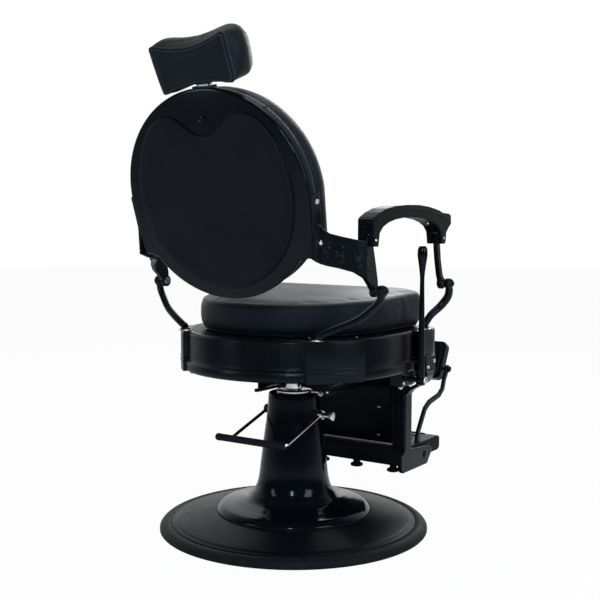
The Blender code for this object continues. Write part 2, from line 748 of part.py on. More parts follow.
def make_ram():
    foot = RAM_FOOT_HEIGHT
    piston = CYLINDER_RADIUS - CYLINDER_WALL - TURN_GAP
    top = HUB_BOTTOM + 0.016
    profile = [
        (0.0, foot), (piston, foot), (piston, foot + PISTON_LENGTH),
        (RAM_RADIUS, foot + PISTON_LENGTH),
        (RAM_RADIUS, HUB_BOTTOM - 0.006), (RAM_RADIUS - 0.004, HUB_BOTTOM - 0.004),
        (RAM_RADIUS - 0.004, top), (0.0, top),
    ]
    add_piece("ram", turned(profile, 24), "chrome", "ram_axis")


def make_hub():
    """The swivel hub turns on the ram's head and carries the seat frame."""
    bore = RAM_RADIUS - 0.004 + TURN_GAP
    roof = HUB_BOTTOM + 0.016 + GAP
    profile = [
        (bore, HUB_BOTTOM), (HUB_RADIUS - 0.008, HUB_BOTTOM), (HUB_RADIUS, HUB_BOTTOM + 0.008),
        (HUB_RADIUS, HUB_TOP), (0.0, HUB_TOP), (0.0, roof), (bore, roof),
    ]
    hub_bm = turned_closed(profile, 28)
    add_piece("swivel_hub", hub_bm, "gloss_black", "seat_axis")


def turned_closed(profile, sides):
    """Spin a closed profile that touches the axis partway round its outline."""
    start = next(i for i, point in enumerate(profile) if point[0] < 1e-6 and profile[i - 1][0] >= 1e-6)
    ordered = profile[start + 1:] + profile[:start + 1]
    if ordered[0][0] >= 1e-6:
        ordered = [profile[start]] + ordered[:-1]
    return turned(ordered, sides)


def make_lock_lever():
    """Flat lever behind the hub that locks the swivel."""
    low = HUB_BOTTOM - 0.008
    high = low + LOCK_LEVER_THICKNESS
    pivot = LOCK_PIVOT_BACK
    half = LOCK_LEVER_WIDTH / 2
    tip = half * 0.55
    outline = arc((0.0, pivot), half, 180, 360, 8)
    outline += arc((0.0, LOCK_LEVER_REACH - tip), tip, 0, 180, 6)
    lever = add_piece("swivel_lock_lever", prism(outline, along_z, low, high), "gloss_black", "lock_axis")
    hole = cylinder((0, pivot, low - 0.01), (0, pivot, high + 0.01), LOCK_PIN_RADIUS + TURN_GAP)
    cut(lever, hole, "lock_axis")


def lock_pin():
    """Headed pin under the frame plate that the lock lever turns on."""
    low = HUB_BOTTOM - 0.008
    head = low - 0.004
    pin = [
        (0.0, head), (LOCK_PIN_RADIUS + 0.003, head), (LOCK_PIN_RADIUS + 0.003, low - GAP),
        (LOCK_PIN_RADIUS, low - GAP), (LOCK_PIN_RADIUS, FRAME_PLATE_BOTTOM + 0.002),
        (0.0, FRAME_PLATE_BOTTOM + 0.002),
    ]
    return turned(pin, SMALL, (0.0, LOCK_PIVOT_BACK))


# ======================================================================= seat
def make_seat_frame():
    half = FRAME_PLATE_HALF
    low, high = FRAME_PLATE_BOTTOM, FRAME_PLATE_TOP
    body = "seat_axis"
    frame = add_piece("seat_frame", box((-half, -half, low), (half, half, high)), "satin_black", body)
    bar_top = high + CROSS_BAR_HEIGHT
    for sign in (1.0, -1.0):
        middle = RING_CENTRE_Y + sign * CROSS_BAR_OFFSET
        edge = CROSS_BAR_OFFSET + CROSS_BAR_WIDTH / 2
        inside = RING_INNER * math.cos(math.pi / ROUND)
        reach = math.sqrt(inside ** 2 - edge ** 2) - GAP
        join(frame, box((-reach, middle - CROSS_BAR_WIDTH / 2, high - 0.004),
                        (reach, middle + CROSS_BAR_WIDTH / 2, bar_top)), body)
    join(frame, lock_pin(), body)


def make_rails():
    """Flat bars under the seat that carry the footrest, one on each side."""
    low = RAIL_BOTTOM
    high = RAIL_BOTTOM + RAIL_DEPTH
    tab = RAIL_TAB_WIDTH / 2
    front = SHIN_Y + GAP
    top = FRAME_PLATE_BOTTOM - GAP
    outline = [
        (tab, low), (tab, top), (-tab, top), (-tab, high + 0.006), (-tab - 0.006, high),
        (front, high), (front, low),
    ]
    for side, sign in SIDES:
        half = RAIL_THICKNESS / 2
        near, far = sorted((sign * (RAIL_OFFSET - half), sign * (RAIL_OFFSET + half)))
        web = prism(outline, along_x, near, far)
        rail = add_piece("seat_rail_" + side, web, "satin_black", "seat_axis")
        face = RAIL_OFFSET + half - 0.001
        middle = RAIL_BOTTOM + RAIL_DEPTH / 2
        bolt = bar([(sign * face, 0, middle), (sign * (face + 0.004), 0, middle),
                    (sign * (face + 0.006), 0, middle)],
                   [RAIL_BOLT_RADIUS, RAIL_BOLT_RADIUS, RAIL_BOLT_RADIUS * 0.7], 12)
        join(rail, bolt, "seat_axis")


def ring_point(angle, radius, height):
    """A place on the round back of the ring, at an angle from straight back towards +X."""
    turn = math.radians(angle)
    return Vector((radius * math.sin(turn), RING_CENTRE_Y + radius * math.cos(turn), height))


def ring_row(offset, height):
    outline = seat_outline(RING_RADIUS, RING_FRONT_Y, RING_CORNER, RING_CENTRE_Y, offset)
    return [Vector((x, y, height)) for x, y in outline]


def rear_pilaster(sign):
    """Wide raised panel on the round back of the ring, under a rear leg."""
    steps = 6
    sweep = REAR_PILASTER_END - REAR_PILASTER_START
    angles = [REAR_PILASTER_START + sweep * k / steps for k in range(steps + 1)]
    rows = []
    for height in (RING_BOTTOM + 0.0005, RING_TOP - 0.001):
        outer = [ring_point(angle, RING_RADIUS + PILASTER_REACH, height) for angle in angles]
        inner = [ring_point(angle, RING_RADIUS - 0.006, height) for angle in angles[::-1]]
        rows.append([Vector((sign * point.x, point.y, point.z)) for point in outer + inner])
    return loft(rows)


def front_pilaster(sign):
    """Raised panel that wraps a front corner of the ring."""
    middle = Vector((RING_RADIUS - RING_CORNER, RING_FRONT_Y + RING_CORNER, 0))
    rows = []
    for height in (RING_BOTTOM + 0.0005, RING_TOP - 0.001):
        row = []
        for reach, order in ((PILASTER_REACH, 1), (-0.006, -1)):
            part = [Vector((RING_RADIUS + reach, FRONT_PILASTER_Y, height))]
            turn = arc((middle.x, middle.y), RING_CORNER + reach, 0, -90, 6)
            part += [Vector((x, y, height)) for x, y in turn]
            part.append(Vector((middle.x - 0.020, RING_FRONT_Y - reach, height)))
            row += part[::order]
        rows.append([Vector((sign * point.x, point.y, point.z)) for point in row])
    return loft(rows)


def make_seat_ring():
    band_top = RING_BOTTOM + RING_BAND_HEIGHT
    ledge_top = PAN_TOP - PAN_THICKNESS - GAP
    step = RING_BAND_STEP
    wall = -RING_WALL
    profile = [
        (wall, RING_BOTTOM), (step - 0.003, RING_BOTTOM), (step, RING_BOTTOM + 0.004),
        (step, band_top - 0.004), (step - 0.003, band_top), (0.0, band_top + 0.003),
        (0.0, RING_TOP - 0.006), (-0.005, RING_TOP), (wall, RING_TOP), (wall, ledge_top),
        (wall - LEDGE_WIDTH, ledge_top), (wall - LEDGE_WIDTH, ledge_top - LEDGE_HEIGHT),
        (wall, ledge_top - LEDGE_HEIGHT - 0.006),
    ]
    rows = [ring_row(offset, height) for offset, height in profile]
    ring = add_piece("seat_ring", swept(rows, True), "gloss_black", "seat_axis")
    for side, sign in SIDES:
        join(ring, rear_pilaster(sign), "seat_axis")
        join(ring, front_pilaster(sign), "seat_axis")
    join(ring, ring_clevis(), "seat_axis")


def ring_clevis():
    """Small clevis under the ring on the sitter's left, opposite the recline housing."""
    place = ring_point(66.0, RING_RADIUS - 0.016, RING_BOTTOM)
    return box(place - Vector((0.010, 0.012, 0.026)), place + Vector((0.010, 0.012, -0.004 + 0.008)))


def make_seat_pan():
    low = PAN_TOP - PAN_THICKNESS
    inset = -RING_WALL - GAP
    rows = [ring_row(inset, low), ring_row(inset, PAN_TOP)]
    add_piece("seat_pan", swept(rows, False), "wood", "seat_axis")


def cushion_row(inset, height, shrink=1.0):
    """One outline of the seat cushion, tipped up towards the front the nearer it is to the top."""
    middle = CUSHION_CENTRE_Y
    outline = seat_outline(CUSHION_RADIUS, CUSHION_FRONT_Y, CUSHION_CORNER, middle, -inset)
    tip = CUSHION_SLOPE * (height - CUSHION_BOTTOM) / CUSHION_HEIGHT
    row = []
    for x, y in outline:
        reach = (y - middle) * shrink
        row.append(Vector((x * shrink, middle + reach, height - reach * tip)))
    return row


def make_seat_cushion():
    """Seat cushion with a crowned top, a soft edge and sides drawn in at the foot."""
    low = CUSHION_BOTTOM
    edge_top = low + CUSHION_HEIGHT
    rows = [cushion_row(CUSHION_DRAW_IN, low), cushion_row(CUSHION_DRAW_IN * 0.45, low + 0.010),
            cushion_row(0.002, low + 0.026)]
    for r, z in arc((-CUSHION_EDGE, edge_top - CUSHION_EDGE), CUSHION_EDGE, 0, 78, 5):
        rows.append(cushion_row(-r, z))
    for share in (0.72, 0.45, 0.2):
        rows.append(cushion_row(0.0, edge_top + CUSHION_CROWN * (1 - share ** 2), share))
    add_piece("seat_cushion", swept(rows, False), "leather", "seat_axis")


# ============================================================= legs and pivots
# Where the legs' centre lines pass, as shares of the way from foot to ball in x, y and z.
REAR_LEG_SHARES = (
    (0.0, 0.0, 0.0), (0.28, 0.22, 0.16), (0.62, 0.58, 0.36),
    (0.84, 0.84, 0.60), (0.965, 0.97, 0.80), (1.0, 1.0, 1.0),
)
FRONT_LEG_SHARES = (
    (0.0, 0.0, 0.0), (0.18, 0.55, 0.24), (0.48, 1.25, 0.44),
    (0.80, 1.50, 0.66), (0.955, 1.28, 0.85), (1.0, 1.0, 1.0),
)


def leg_route(sign, rear):
    """Centre line of a curved leg, from its foot on the ring to the ball at its top."""
    foot_x, foot_y = REAR_LEG_FOOT if rear else FRONT_LEG_FOOT
    foot = Vector((foot_x, foot_y, RING_TOP + GAP + LEG_RADIUS))
    head = Vector((LEG_BALL_X, REAR_PIVOT_Y if rear else FRONT_PIVOT_Y, PIVOT_HEIGHT))
    span = head - foot
    shares = REAR_LEG_SHARES if rear else FRONT_LEG_SHARES
    route = [foot + Vector((span.x * a, span.y * b, span.z * c)) for a, b, c in shares]
    return [Vector((sign * point.x, point.y, point.z)) for point in route]


def make_leg(name, sign, rear):
    """Curved leg with a round foot on the ring and a ball at its top for the pivot pin."""
    body = "seat_axis"
    route = smooth_route(leg_route(sign, rear), 3)
    middle = LEG_RADIUS * (1.0 if rear else 1.2)
    last = len(route) - 1
    radii = [middle + (LEG_RADIUS - middle) * abs(2 * k / last - 1) for k in range(last + 1)]
    leg = add_piece(name, bar(route, radii, 12), "gloss_black", body)
    foot = route[0]
    low = RING_TOP + GAP
    high = low + LEG_FOOT_THICKNESS
    wide = LEG_FOOT_RADIUS
    pad = [(0.0, low), (wide, low), (wide, high - 0.003), (wide * 0.7, high), (0.0, high)]
    join(leg, turned(pad, SMALL, (foot.x, foot.y)), body)
    pivot_y = REAR_PIVOT_Y if rear else FRONT_PIVOT_Y
    join(leg, leg_ball(sign, pivot_y), body)
    face = LEG_BALL_X - LEG_BALL_RADIUS * 0.95 - 0.001
    depth = LEG_BALL_X + LEG_BALL_RADIUS * 0.3
    near = (sign * face, pivot_y, PIVOT_HEIGHT)
    far = (sign * depth, pivot_y, PIVOT_HEIGHT)
    cut(leg, cylinder(near, far, PIVOT_PIN_RADIUS + GAP), body)


def leg_ball(sign, pivot_y):
    """Ball at the top of a leg, flattened where it meets the link."""
    steps = 7
    start = -LEG_BALL_RADIUS * 0.93
    end = LEG_BALL_RADIUS * 0.98
    route, radii = [], []
    for k in range(steps + 1):
        x = start + (end - start) * k / steps
        route.append((sign * (LEG_BALL_X + x), pivot_y, PIVOT_HEIGHT))
        radii.append(math.sqrt(LEG_BALL_RADIUS ** 2 - x ** 2))
    return bar(route, radii, SMALL)


def make_pivot_pin(name, sign, pivot_y):
    """Headed pin that goes outwards through a link's eye and into the leg's ball."""
    body = "seat_axis"
    face = LINK_X - LINK_THICKNESS / 2 - TURN_GAP
    tip = LEG_BALL_X + LEG_BALL_RADIUS * 0.3 - GAP
    outer, seat, root, end = [
        Vector((sign * x, pivot_y, PIVOT_HEIGHT))
        for x in (face - PIVOT_HEAD_THICKNESS, face, face - 0.001, tip)]
    head = bar([outer, seat], [PIVOT_HEAD_RADIUS * 0.9, PIVOT_HEAD_RADIUS], SMALL)
    pin = add_piece(name, head, "steel", body)
    join(pin, cylinder(root, end, PIVOT_PIN_RADIUS), body)


def link_place(sign):
    """Places for a link outline drawn in (y, z) on the links' middle plane."""
    return lambda u, v, depth: Vector((sign * (LINK_X + depth), u, v))


def link_eye(sign, y, z, reach, radius):
    """Round eye across the links' middle plane."""
    return cylinder((sign * (LINK_X - reach), y, z), (sign * (LINK_X + reach), y, z), radius)


def ring_cut(item, sign, y, z, radius, body):
    cut(item, link_eye(sign, y, z, LINK_THICKNESS * 2, radius), body)


def make_front_post(side, sign):
    body = "post_axis_" + side
    low = Vector((0, FRONT_PIVOT_Y, PIVOT_HEIGHT))
    high = Vector((0, FRONT_PIN_Y, PIN_HEIGHT))
    span = high - low
    shares = ((0.0, 0.0), (0.42, 0.22), (0.74, 0.52), (0.93, 0.82), (1.0, 1.0))
    centre = [low + Vector((0, span.y * a, span.z * b)) for a, b in shares]
    halves = (0.0100, 0.0080, 0.0075, 0.0080, 0.0080)
    front = [(point.y - half, point.z) for point, half in zip(centre, halves)]
    back = [(point.y + half, point.z) for point, half in zip(centre, halves)]
    outline = front + back[::-1]
    half_t = LINK_THICKNESS / 2
    place = link_place(sign)
    post = add_piece("front_post_" + side, prism(outline, place, -half_t, half_t), "gloss_black", body)
    eye = half_t * 0.99
    join(post, link_eye(sign, low.y, low.z, eye, PIVOT_EYE_RADIUS), body)
    join(post, link_eye(sign, high.y, high.z, half_t * 0.98, LUG_RADIUS), body)
    ring_cut(post, sign, low.y, low.z, PIVOT_PIN_RADIUS + TURN_GAP, body)
    ring_cut(post, sign, high.y, high.z, ARM_PIN_RADIUS + TURN_GAP, body)


# ==================================================================== armrest
def arm_outline():
    """Side view of an armrest: arched below, gently crowned above, a fork at each end."""
    top = PIN_HEIGHT + ARM_TOP_RISE
    crown = PIN_HEIGHT + ARM_CROWN_RISE
    foot = PIN_HEIGHT - ARM_FORK_DROP
    back = REAR_PIN_Y + ARM_LENGTH_BEHIND_PIN
    front = FRONT_PIN_Y - ARM_LENGTH_BEFORE_PIN
    middle = (REAR_PIN_Y + FRONT_PIN_Y) / 2
    inner_back = REAR_PIN_Y - ARM_FORK_HALF
    inner_front = FRONT_PIN_Y + ARM_FORK_HALF
    neck = FRONT_PIN_Y - ARM_FORK_HALF
    outline = [
        (back, foot + 0.010), (back, top - 0.034), (back - 0.007, top - 0.029),
        (back - 0.030, top - 0.019), (back - 0.062, top - 0.010), (back - 0.105, top - 0.0035),
        (middle + 0.020, top - 0.0005), (middle - 0.036, top),
        (front + 0.124, top - 0.0035), (front + 0.092, top - 0.008),
        (front + 0.064, top - 0.0126), (front + 0.050, top - 0.0173), (front + 0.012, top - 0.020),
        (front + 0.002, top - 0.024), (front, top - 0.045), (front + 0.014, top - 0.055),
        (neck - 0.002, top - 0.067), (neck, foot + 0.008), (neck + 0.005, foot), (inner_front, foot),
    ]
    half = (inner_back - inner_front) / 2
    arch_middle = (inner_back + inner_front) / 2
    for k in range(0, 13):
        angle = math.pi * k / 12
        y = arch_middle - half * math.cos(angle)
        z = foot + 0.003 + (crown - foot - 0.003) * math.sin(angle) ** 0.62
        outline.append((y, z))
    outline += [(inner_back, foot), (back - 0.006, foot)]
    return outline


def make_armrest(side, sign):
    body = "arm_axis_" + side
    place = link_place(sign)
    half = ARM_HALF_WIDTH
    arm = add_piece("armrest_" + side, prism(arm_outline(), place, -half, half), "satin_black", body)
    slot = LINK_THICKNESS / 2 + ARM_SLOT_GAP
    low = PIN_HEIGHT - ARM_FORK_DROP - 0.02
    high = PIN_HEIGHT + ARM_SLOT_RISE
    reach_back = REAR_PIN_Y + ARM_LENGTH_BEHIND_PIN + 0.02
    near, far = sorted((sign * (LINK_X - slot), sign * (LINK_X + slot)))
    back_high = high + 0.016
    cut(arm, box((near, REAR_PIN_Y - ARM_FORK_HALF - 0.010, low), (far, reach_back, back_high)), body)
    cut(arm, box((near, FRONT_PIN_Y - 0.024, low), (far, FRONT_PIN_Y + 0.034, high)), body)
    for pin_y in (REAR_PIN_Y, FRONT_PIN_Y):
        join(arm, link_eye(sign, pin_y, PIN_HEIGHT, half * 0.8, ARM_PIN_RADIUS), body)


# =================================================================== backrest
def back_outline(inset, depth):
    """Rounded outline of the backrest with shoulders that run down to the brackets."""
    wide = BACK_HALF_WIDTH - inset
    tall = BACK_HALF_HEIGHT - inset
    ear_low = -(EAR_DROP - inset)
    ear_x = wide - EAR_INSET
    lift = min(max(depth - SHELL_THICKNESS, 0.0), UNDERCUT_DEPTH) * UNDERCUT_SLOPE
    floor = -BACK_HALF_HEIGHT + lift
    right = []
    for k in range(13):
        angle = math.radians(90 - 90 * k / 12)
        right.append((wide * math.cos(angle), tall * math.sin(angle)))
    for share in (0.4, 0.8):
        right.append((wide - EAR_INSET * share, ear_low * share))
    join_x = wide * math.sqrt(1 - (ear_low / tall) ** 2)
    right += [(ear_x, ear_low + 0.008), (ear_x - 0.006, ear_low)]
    start = math.degrees(math.asin(ear_low / tall))
    right.append((join_x + 0.010, ear_low))
    for k in range(1, 10):
        angle = math.radians(start + (-90 - start) * k / 10)
        right.append((wide * math.cos(angle), max(tall * math.sin(angle), floor)))
    left = [(-u, v) for u, v in right[::-1]]
    bottom = [(0.0, max(-tall, floor))]
    return right + bottom + left[:-1]


def back_ring(inset, depth):
    return [back_point(u, v, depth) for u, v in back_outline(inset, depth)]


def make_back_shell():
    thick = SHELL_THICKNESS
    rings = [back_ring(0.004, 0.0), back_ring(0.0, 0.004), back_ring(0.0, thick)]
    shell = add_piece("back_shell", loft(rings), "gloss_black", "back_axis")
    centre = Vector((0.0, BOSS_HEIGHT, 0.0))
    outline = arc((centre.x, centre.y), BOSS_RADIUS, 0, 360 - 360 / SMALL, SMALL - 1)
    join(shell, prism(outline, back_point, -BOSS_THICKNESS, 0.002), "back_axis")


def make_back_frame():
    low = SHELL_THICKNESS + GAP
    high = low + BACK_FRAME_THICKNESS
    rings = [back_ring(BACK_INSET, low), back_ring(BACK_INSET, high)]
    frame = add_piece("back_frame", loft(rings), "leather", "back_axis")
    half = STEM_WIDTH / 2 + TURN_GAP
    near = STEM_DEPTH - TURN_GAP
    far = STEM_DEPTH + STEM_THICKNESS + TURN_GAP
    bottom = BACK_HALF_HEIGHT + STEM_ABOVE_BACK - STEM_LENGTH - 0.010
    top = BACK_HALF_HEIGHT + 0.02
    outline = [(-half, bottom), (half, bottom), (half, top), (-half, top)]
    cut(frame, prism(outline, back_point, near, far), "back_axis")


def make_back_cushion():
    """Front cushion: same outline as the frame, a soft edge and a crowned face."""
    start = SHELL_THICKNESS + BACK_FRAME_THICKNESS + 2 * GAP
    thick = BACK_CUSHION_THICKNESS
    steps = ((BACK_INSET + 0.002, 0.0), (BACK_INSET - 0.003, 0.30), (BACK_INSET - 0.001, 0.72),
             (BACK_INSET + 0.007, 0.93), (BACK_INSET + 0.024, 1.04))
    rings = [back_ring(inset, start + thick * share) for inset, share in steps]
    for shrink, rise in ((0.62, 0.75), (0.30, 1.0)):
        depth = start + thick + BACK_CUSHION_CROWN * rise
        last = back_outline(BACK_INSET + 0.024, start + thick)
        rings.append([back_point(u * shrink, v * shrink, depth) for u, v in last])
    add_piece("back_cushion", loft(rings), "leather", "back_axis")


def panel_outline(inset):
    """Raised back panel: round, with two lobes above and a dip between them for the boss."""
    wide = PANEL_HALF_WIDTH - inset
    tall = PANEL_HALF_HEIGHT - inset
    lobe = PANEL_LOBE_HEIGHT - inset
    dip = PANEL_DIP_HEIGHT - inset
    right = []
    steps = 8
    for k in range(steps):
        x = PANEL_LOBE_X * k / steps
        mix = (1 - math.cos(math.pi * k / steps)) / 2
        right.append((x, dip + (lobe - dip) * mix))
    for k in range(20):
        angle = math.radians(90 - 180 * k / 20)
        reach = PANEL_LOBE_X + (wide - PANEL_LOBE_X) * math.cos(angle)
        if angle >= 0:
            right.append((reach, lobe * math.sin(angle)))
        else:
            right.append((wide * math.cos(angle), tall * math.sin(angle)))
    left = [(-u, v) for u, v in right[1:][::-1]]
    return right + [(0.0, -tall)] + left


def make_back_panel():
    start = -GAP
    rings = []
    for inset, share in ((0.0, 0.0), (0.001, 0.5), (0.006, 0.85), (0.018, 1.0)):
        depth = start - PANEL_THICKNESS * share
        rings.append([back_point(u, v, depth) for u, v in panel_outline(inset)])
    add_piece("back_panel", loft(rings[::-1]), "leather", "back_axis")


# ================================================================== brackets
def bracket_ease(y):
    """0 where the bracket runs straight at the armrest, 1 where it lies beside the backrest."""
    start = REAR_PIN_Y + ARM_LENGTH_BEHIND_PIN + 0.004
    share = min(max((y - start) / 0.066, 0.0), 1.0)
    return share * share * (3 - 2 * share)


def bracket_face(z):
    """Outer face of the bracket beside the backrest, at a world height."""
    height = (z - BACK_CENTRE_HEIGHT) / math.cos(LEAN)
    return BACK_HALF_WIDTH + BRACKET_GAP + BRACKET_TAIL + shoulder_taper(height)


def bracket_section(sign, y, low, high):
    """Cross-section of the bracket, which bends in to follow the shoulder's taper."""
    ease = bracket_ease(y)
    half = (LINK_THICKNESS + (BRACKET_TAIL - LINK_THICKNESS) * ease) / 2
    outer, inner = [], []
    for z in (low, high):
        middle = LINK_X + (bracket_face(z) - BRACKET_TAIL / 2 - LINK_X) * ease
        outer.append(Vector((sign * (middle + half), y, z)))
        inner.append(Vector((sign * (middle - half), y, z)))
    return [inner[0], outer[0], outer[1], inner[1]]


def bracket_stations():
    """Height limits of the bracket along its length: (y, bottom, top)."""
    y0 = REAR_PIVOT_Y
    z0 = PIVOT_HEIGHT
    pin = PIN_HEIGHT
    return [
        (y0 - 0.006, z0 + 0.002, z0 + 0.022), (y0 + 0.004, z0 - 0.006, z0 + 0.060),
        (y0 + 0.016, z0 + 0.004, pin - 0.012), (y0 + 0.028, z0 + 0.016, pin - 0.001),
        (y0 + 0.044, z0 + 0.030, pin - 0.002), (y0 + 0.064, z0 + 0.043, pin + 0.001),
        (y0 + 0.084, z0 + 0.052, pin + 0.008), (y0 + 0.104, z0 + 0.058, pin + 0.015),
        (y0 + 0.122, z0 + 0.062, pin + 0.022), (y0 + 0.140, z0 + 0.067, pin + 0.030),
        (y0 + 0.160, z0 + 0.074, pin + 0.040),
    ]


def make_bracket(side, sign):
    """Rear link: side plate on the backrest, casting down to the pivot, lug for the armrest."""
    body = "back_axis"
    half = LINK_THICKNESS / 2
    rings = [bracket_section(sign, y, low, high) for y, low, high in bracket_stations()]
    bracket = add_piece("back_bracket_" + side, loft(rings), "gloss_black", body)
    y, z = REAR_PIVOT_Y, PIVOT_HEIGHT
    eye = half * 0.99
    join(bracket, link_eye(sign, y, z, eye, PIVOT_EYE_RADIUS), body)
    join(bracket, link_eye(sign, REAR_PIN_Y, PIN_HEIGHT, half * 0.98, LUG_RADIUS), body)
    join(bracket, side_plate(sign), body)
    ring_cut(bracket, sign, y, z, PIVOT_PIN_RADIUS + TURN_GAP, body)
    ring_cut(bracket, sign, REAR_PIN_Y, PIN_HEIGHT, ARM_PIN_RADIUS + TURN_GAP, body)


def side_plate(sign):
    """Flat plate on the backrest's edge, between the shell's ear and the cushion."""
    face = BACK_HALF_WIDTH + GAP
    outline = [(0.004, PLATE_LOW), (0.036, PLATE_LOW - 0.004), (0.036, PLATE_HIGH), (0.004, PLATE_HIGH)]
    place = lambda u, v, depth: back_point(sign * (depth + shoulder_taper(v)), v, u)
    return prism(outline, place, face, face + SIDE_PLATE_THICKNESS)


def shoulder_taper(v):
    """How far the backrest's edge draws in at a height below its middle, as a negative number."""
    return EAR_INSET / EAR_DROP * min(v, 0.0)


def make_bracket_bolts(side, sign):
    radius = BRACKET_BOLT_RADIUS
    upper = PLATE_HIGH - 0.018
    plate_face = BACK_HALF_WIDTH + SIDE_PLATE_THICKNESS + 2 * GAP + shoulder_taper(upper + radius)
    lower = PLATE_LOW + 0.020
    lower_centre = back_point(0.0, lower, 0.020)
    places = (("upper", upper, plate_face), ("lower", lower, bracket_face(lower_centre.z + radius) + GAP))
    for name, height, face in places:
        centre = back_point(0.0, height, 0.020)
        start = Vector((sign * face, centre.y, centre.z))
        out = Vector((sign, 0, 0))
        bolt = bar([start, start + out * 0.003, start + out * 0.005], [radius, radius, radius * 0.68], 12)
        add_piece("bracket_bolt_%s_%s" % (name, side), bolt, "chrome", "back_axis")


# =================================================================== headrest
def make_headrest_stem():
    top = BACK_HALF_HEIGHT + STEM_ABOVE_BACK
    half = STEM_WIDTH / 2
    foot = top - STEM_LENGTH
    outline = [(-half, foot), (half, foot), (half, top - 0.004), (-half, top - 0.004)]
    body = "head_slide_axis"
    strip = prism(outline, back_point, STEM_DEPTH, STEM_DEPTH + STEM_THICKNESS)
    stem = add_piece("headrest_stem", strip, "chrome", body)
    centre = HEAD_PIVOT
    barrel = cylinder((-half, centre.y, centre.z), (half, centre.y, centre.z), HEAD_BARREL_RADIUS)
    join(stem, barrel, body)
    bore = cylinder((-0.05, centre.y, centre.z), (0.05, centre.y, centre.z), HEAD_PIVOT_RADIUS + TURN_GAP)
    cut(stem, bore, body)


def make_headrest_socket():
    """Guide plate on top of the back frame that the stem slides through."""
    half = SOCKET_WIDTH / 2
    low = BACK_HALF_HEIGHT - BACK_INSET + GAP
    high = low + SOCKET_THICKNESS
    near = SHELL_THICKNESS + 0.002
    far = SHELL_THICKNESS + BACK_FRAME_THICKNESS - 0.002
    outline = [(-half, low), (half, low), (half, high), (-half, high)]
    socket = add_piece("headrest_socket", prism(outline, back_point, near, far), "chrome", "back_axis")
    slot = STEM_WIDTH / 2 + TURN_GAP
    hole = [(-slot, low - 0.01), (slot, low - 0.01), (slot, high + 0.01), (-slot, high + 0.01)]
    slot_far = STEM_DEPTH + STEM_THICKNESS + TURN_GAP
    cut(socket, prism(hole, back_point, STEM_DEPTH - TURN_GAP, slot_far), "back_axis")


def hinge_point(u, v, depth):
    """A place on the headrest's hinge: across, up its slope from the pivot, and forward."""
    lean = math.radians(HEAD_TILT)
    y = HEAD_PIVOT.y + v * math.sin(lean) - depth * math.cos(lean)
    z = HEAD_PIVOT.z + v * math.cos(lean) + depth * math.sin(lean)
    return Vector((u, y, z))


def head_point(u, v, depth):
    """The same on the plate and pillow, which sit turned a little to one side."""
    roll = math.radians(HEAD_ROLL)
    across = u * math.cos(roll) + v * math.sin(roll)
    return hinge_point(across + HEAD_SHIFT, v * math.cos(roll) - u * math.sin(roll), depth)


def make_headrest_plate():
    """Hinge plate under the pillow, with two lugs beside the stem's barrel and their pin."""
    half = HEAD_PLATE_WIDTH / 2
    depth = HEAD_PLATE_REACH
    body = "head_tilt_axis"
    outline = [(-half, HEAD_RISE), (half, HEAD_RISE), (half, HEAD_RISE + HEAD_PLATE_THICKNESS),
               (-half, HEAD_RISE + HEAD_PLATE_THICKNESS)]
    plate = add_piece("headrest_hinge", prism(outline, head_point, -depth, depth), "steel", body)
    inner = STEM_WIDTH / 2 + TURN_GAP
    for sign in (1.0, -1.0):
        low, high = sorted((sign * inner, sign * (inner + 0.006)))
        middle = (low + high) / 2
        drop = (middle - HEAD_SHIFT) * math.tan(math.radians(HEAD_ROLL))
        root = HEAD_RISE + HEAD_PLATE_THICKNESS / 2 - drop
        foot = HEAD_BARREL_RADIUS
        lug = [(-foot * 0.5, -foot), (foot * 0.5, -foot), (foot, -foot * 0.5), (0.009, root), (-0.009, root),
               (-foot, -foot * 0.5)]
        place = lambda u, v, across: hinge_point(across, v, u)
        join(plate, prism(lug, place, low, high), body)
    reach = inner + 0.005
    centre = HEAD_PIVOT
    pin = cylinder((-reach, centre.y, centre.z), (reach, centre.y, centre.z), HEAD_PIVOT_RADIUS, 12)
    join(plate, pin, body)


def pillow_ring(depth, inset, bulge):
    """One outline of the pillow at a depth: saddle top, arched foot, round ends."""
    low = HEAD_FOOT_RISE
    high = low + HEAD_HEIGHT + bulge * HEAD_RISE_MIDDLE
    top_half = HEAD_WIDTH / 2 - inset - HEAD_BULGE * (1 - bulge)
    foot_half = top_half - HEAD_TAPER / 2
    corner = HEAD_CORNER + HEAD_END_ROUND * bulge
    dip = HEAD_SADDLE + (HEAD_CROWN_DIP - HEAD_SADDLE) * bulge
    steps = 8
    foot, top = [], []
    for k in range(steps + 1):
        t = -1 + 2 * k / steps
        drop = HEAD_ARCH * t * t
        foot.append((t * (foot_half - corner), low + inset - drop))
        top.append((-t * (top_half - corner), high - inset - dip * (1 - t * t)))
    lower = arc((foot_half - corner, low + inset - HEAD_ARCH + corner), corner, -45, 0, 1)
    upper = arc((top_half - corner, high - inset - corner), corner, 0, 45, 1)
    middle = ((foot_half + top_half) / 2 + 0.002 * bulge, (low + high) / 2)
    ends = lower + [middle] + upper
    points = foot + ends + top + [(-u, v) for u, v in ends[::-1]]
    return [head_point(u, v, depth) for u, v in points]


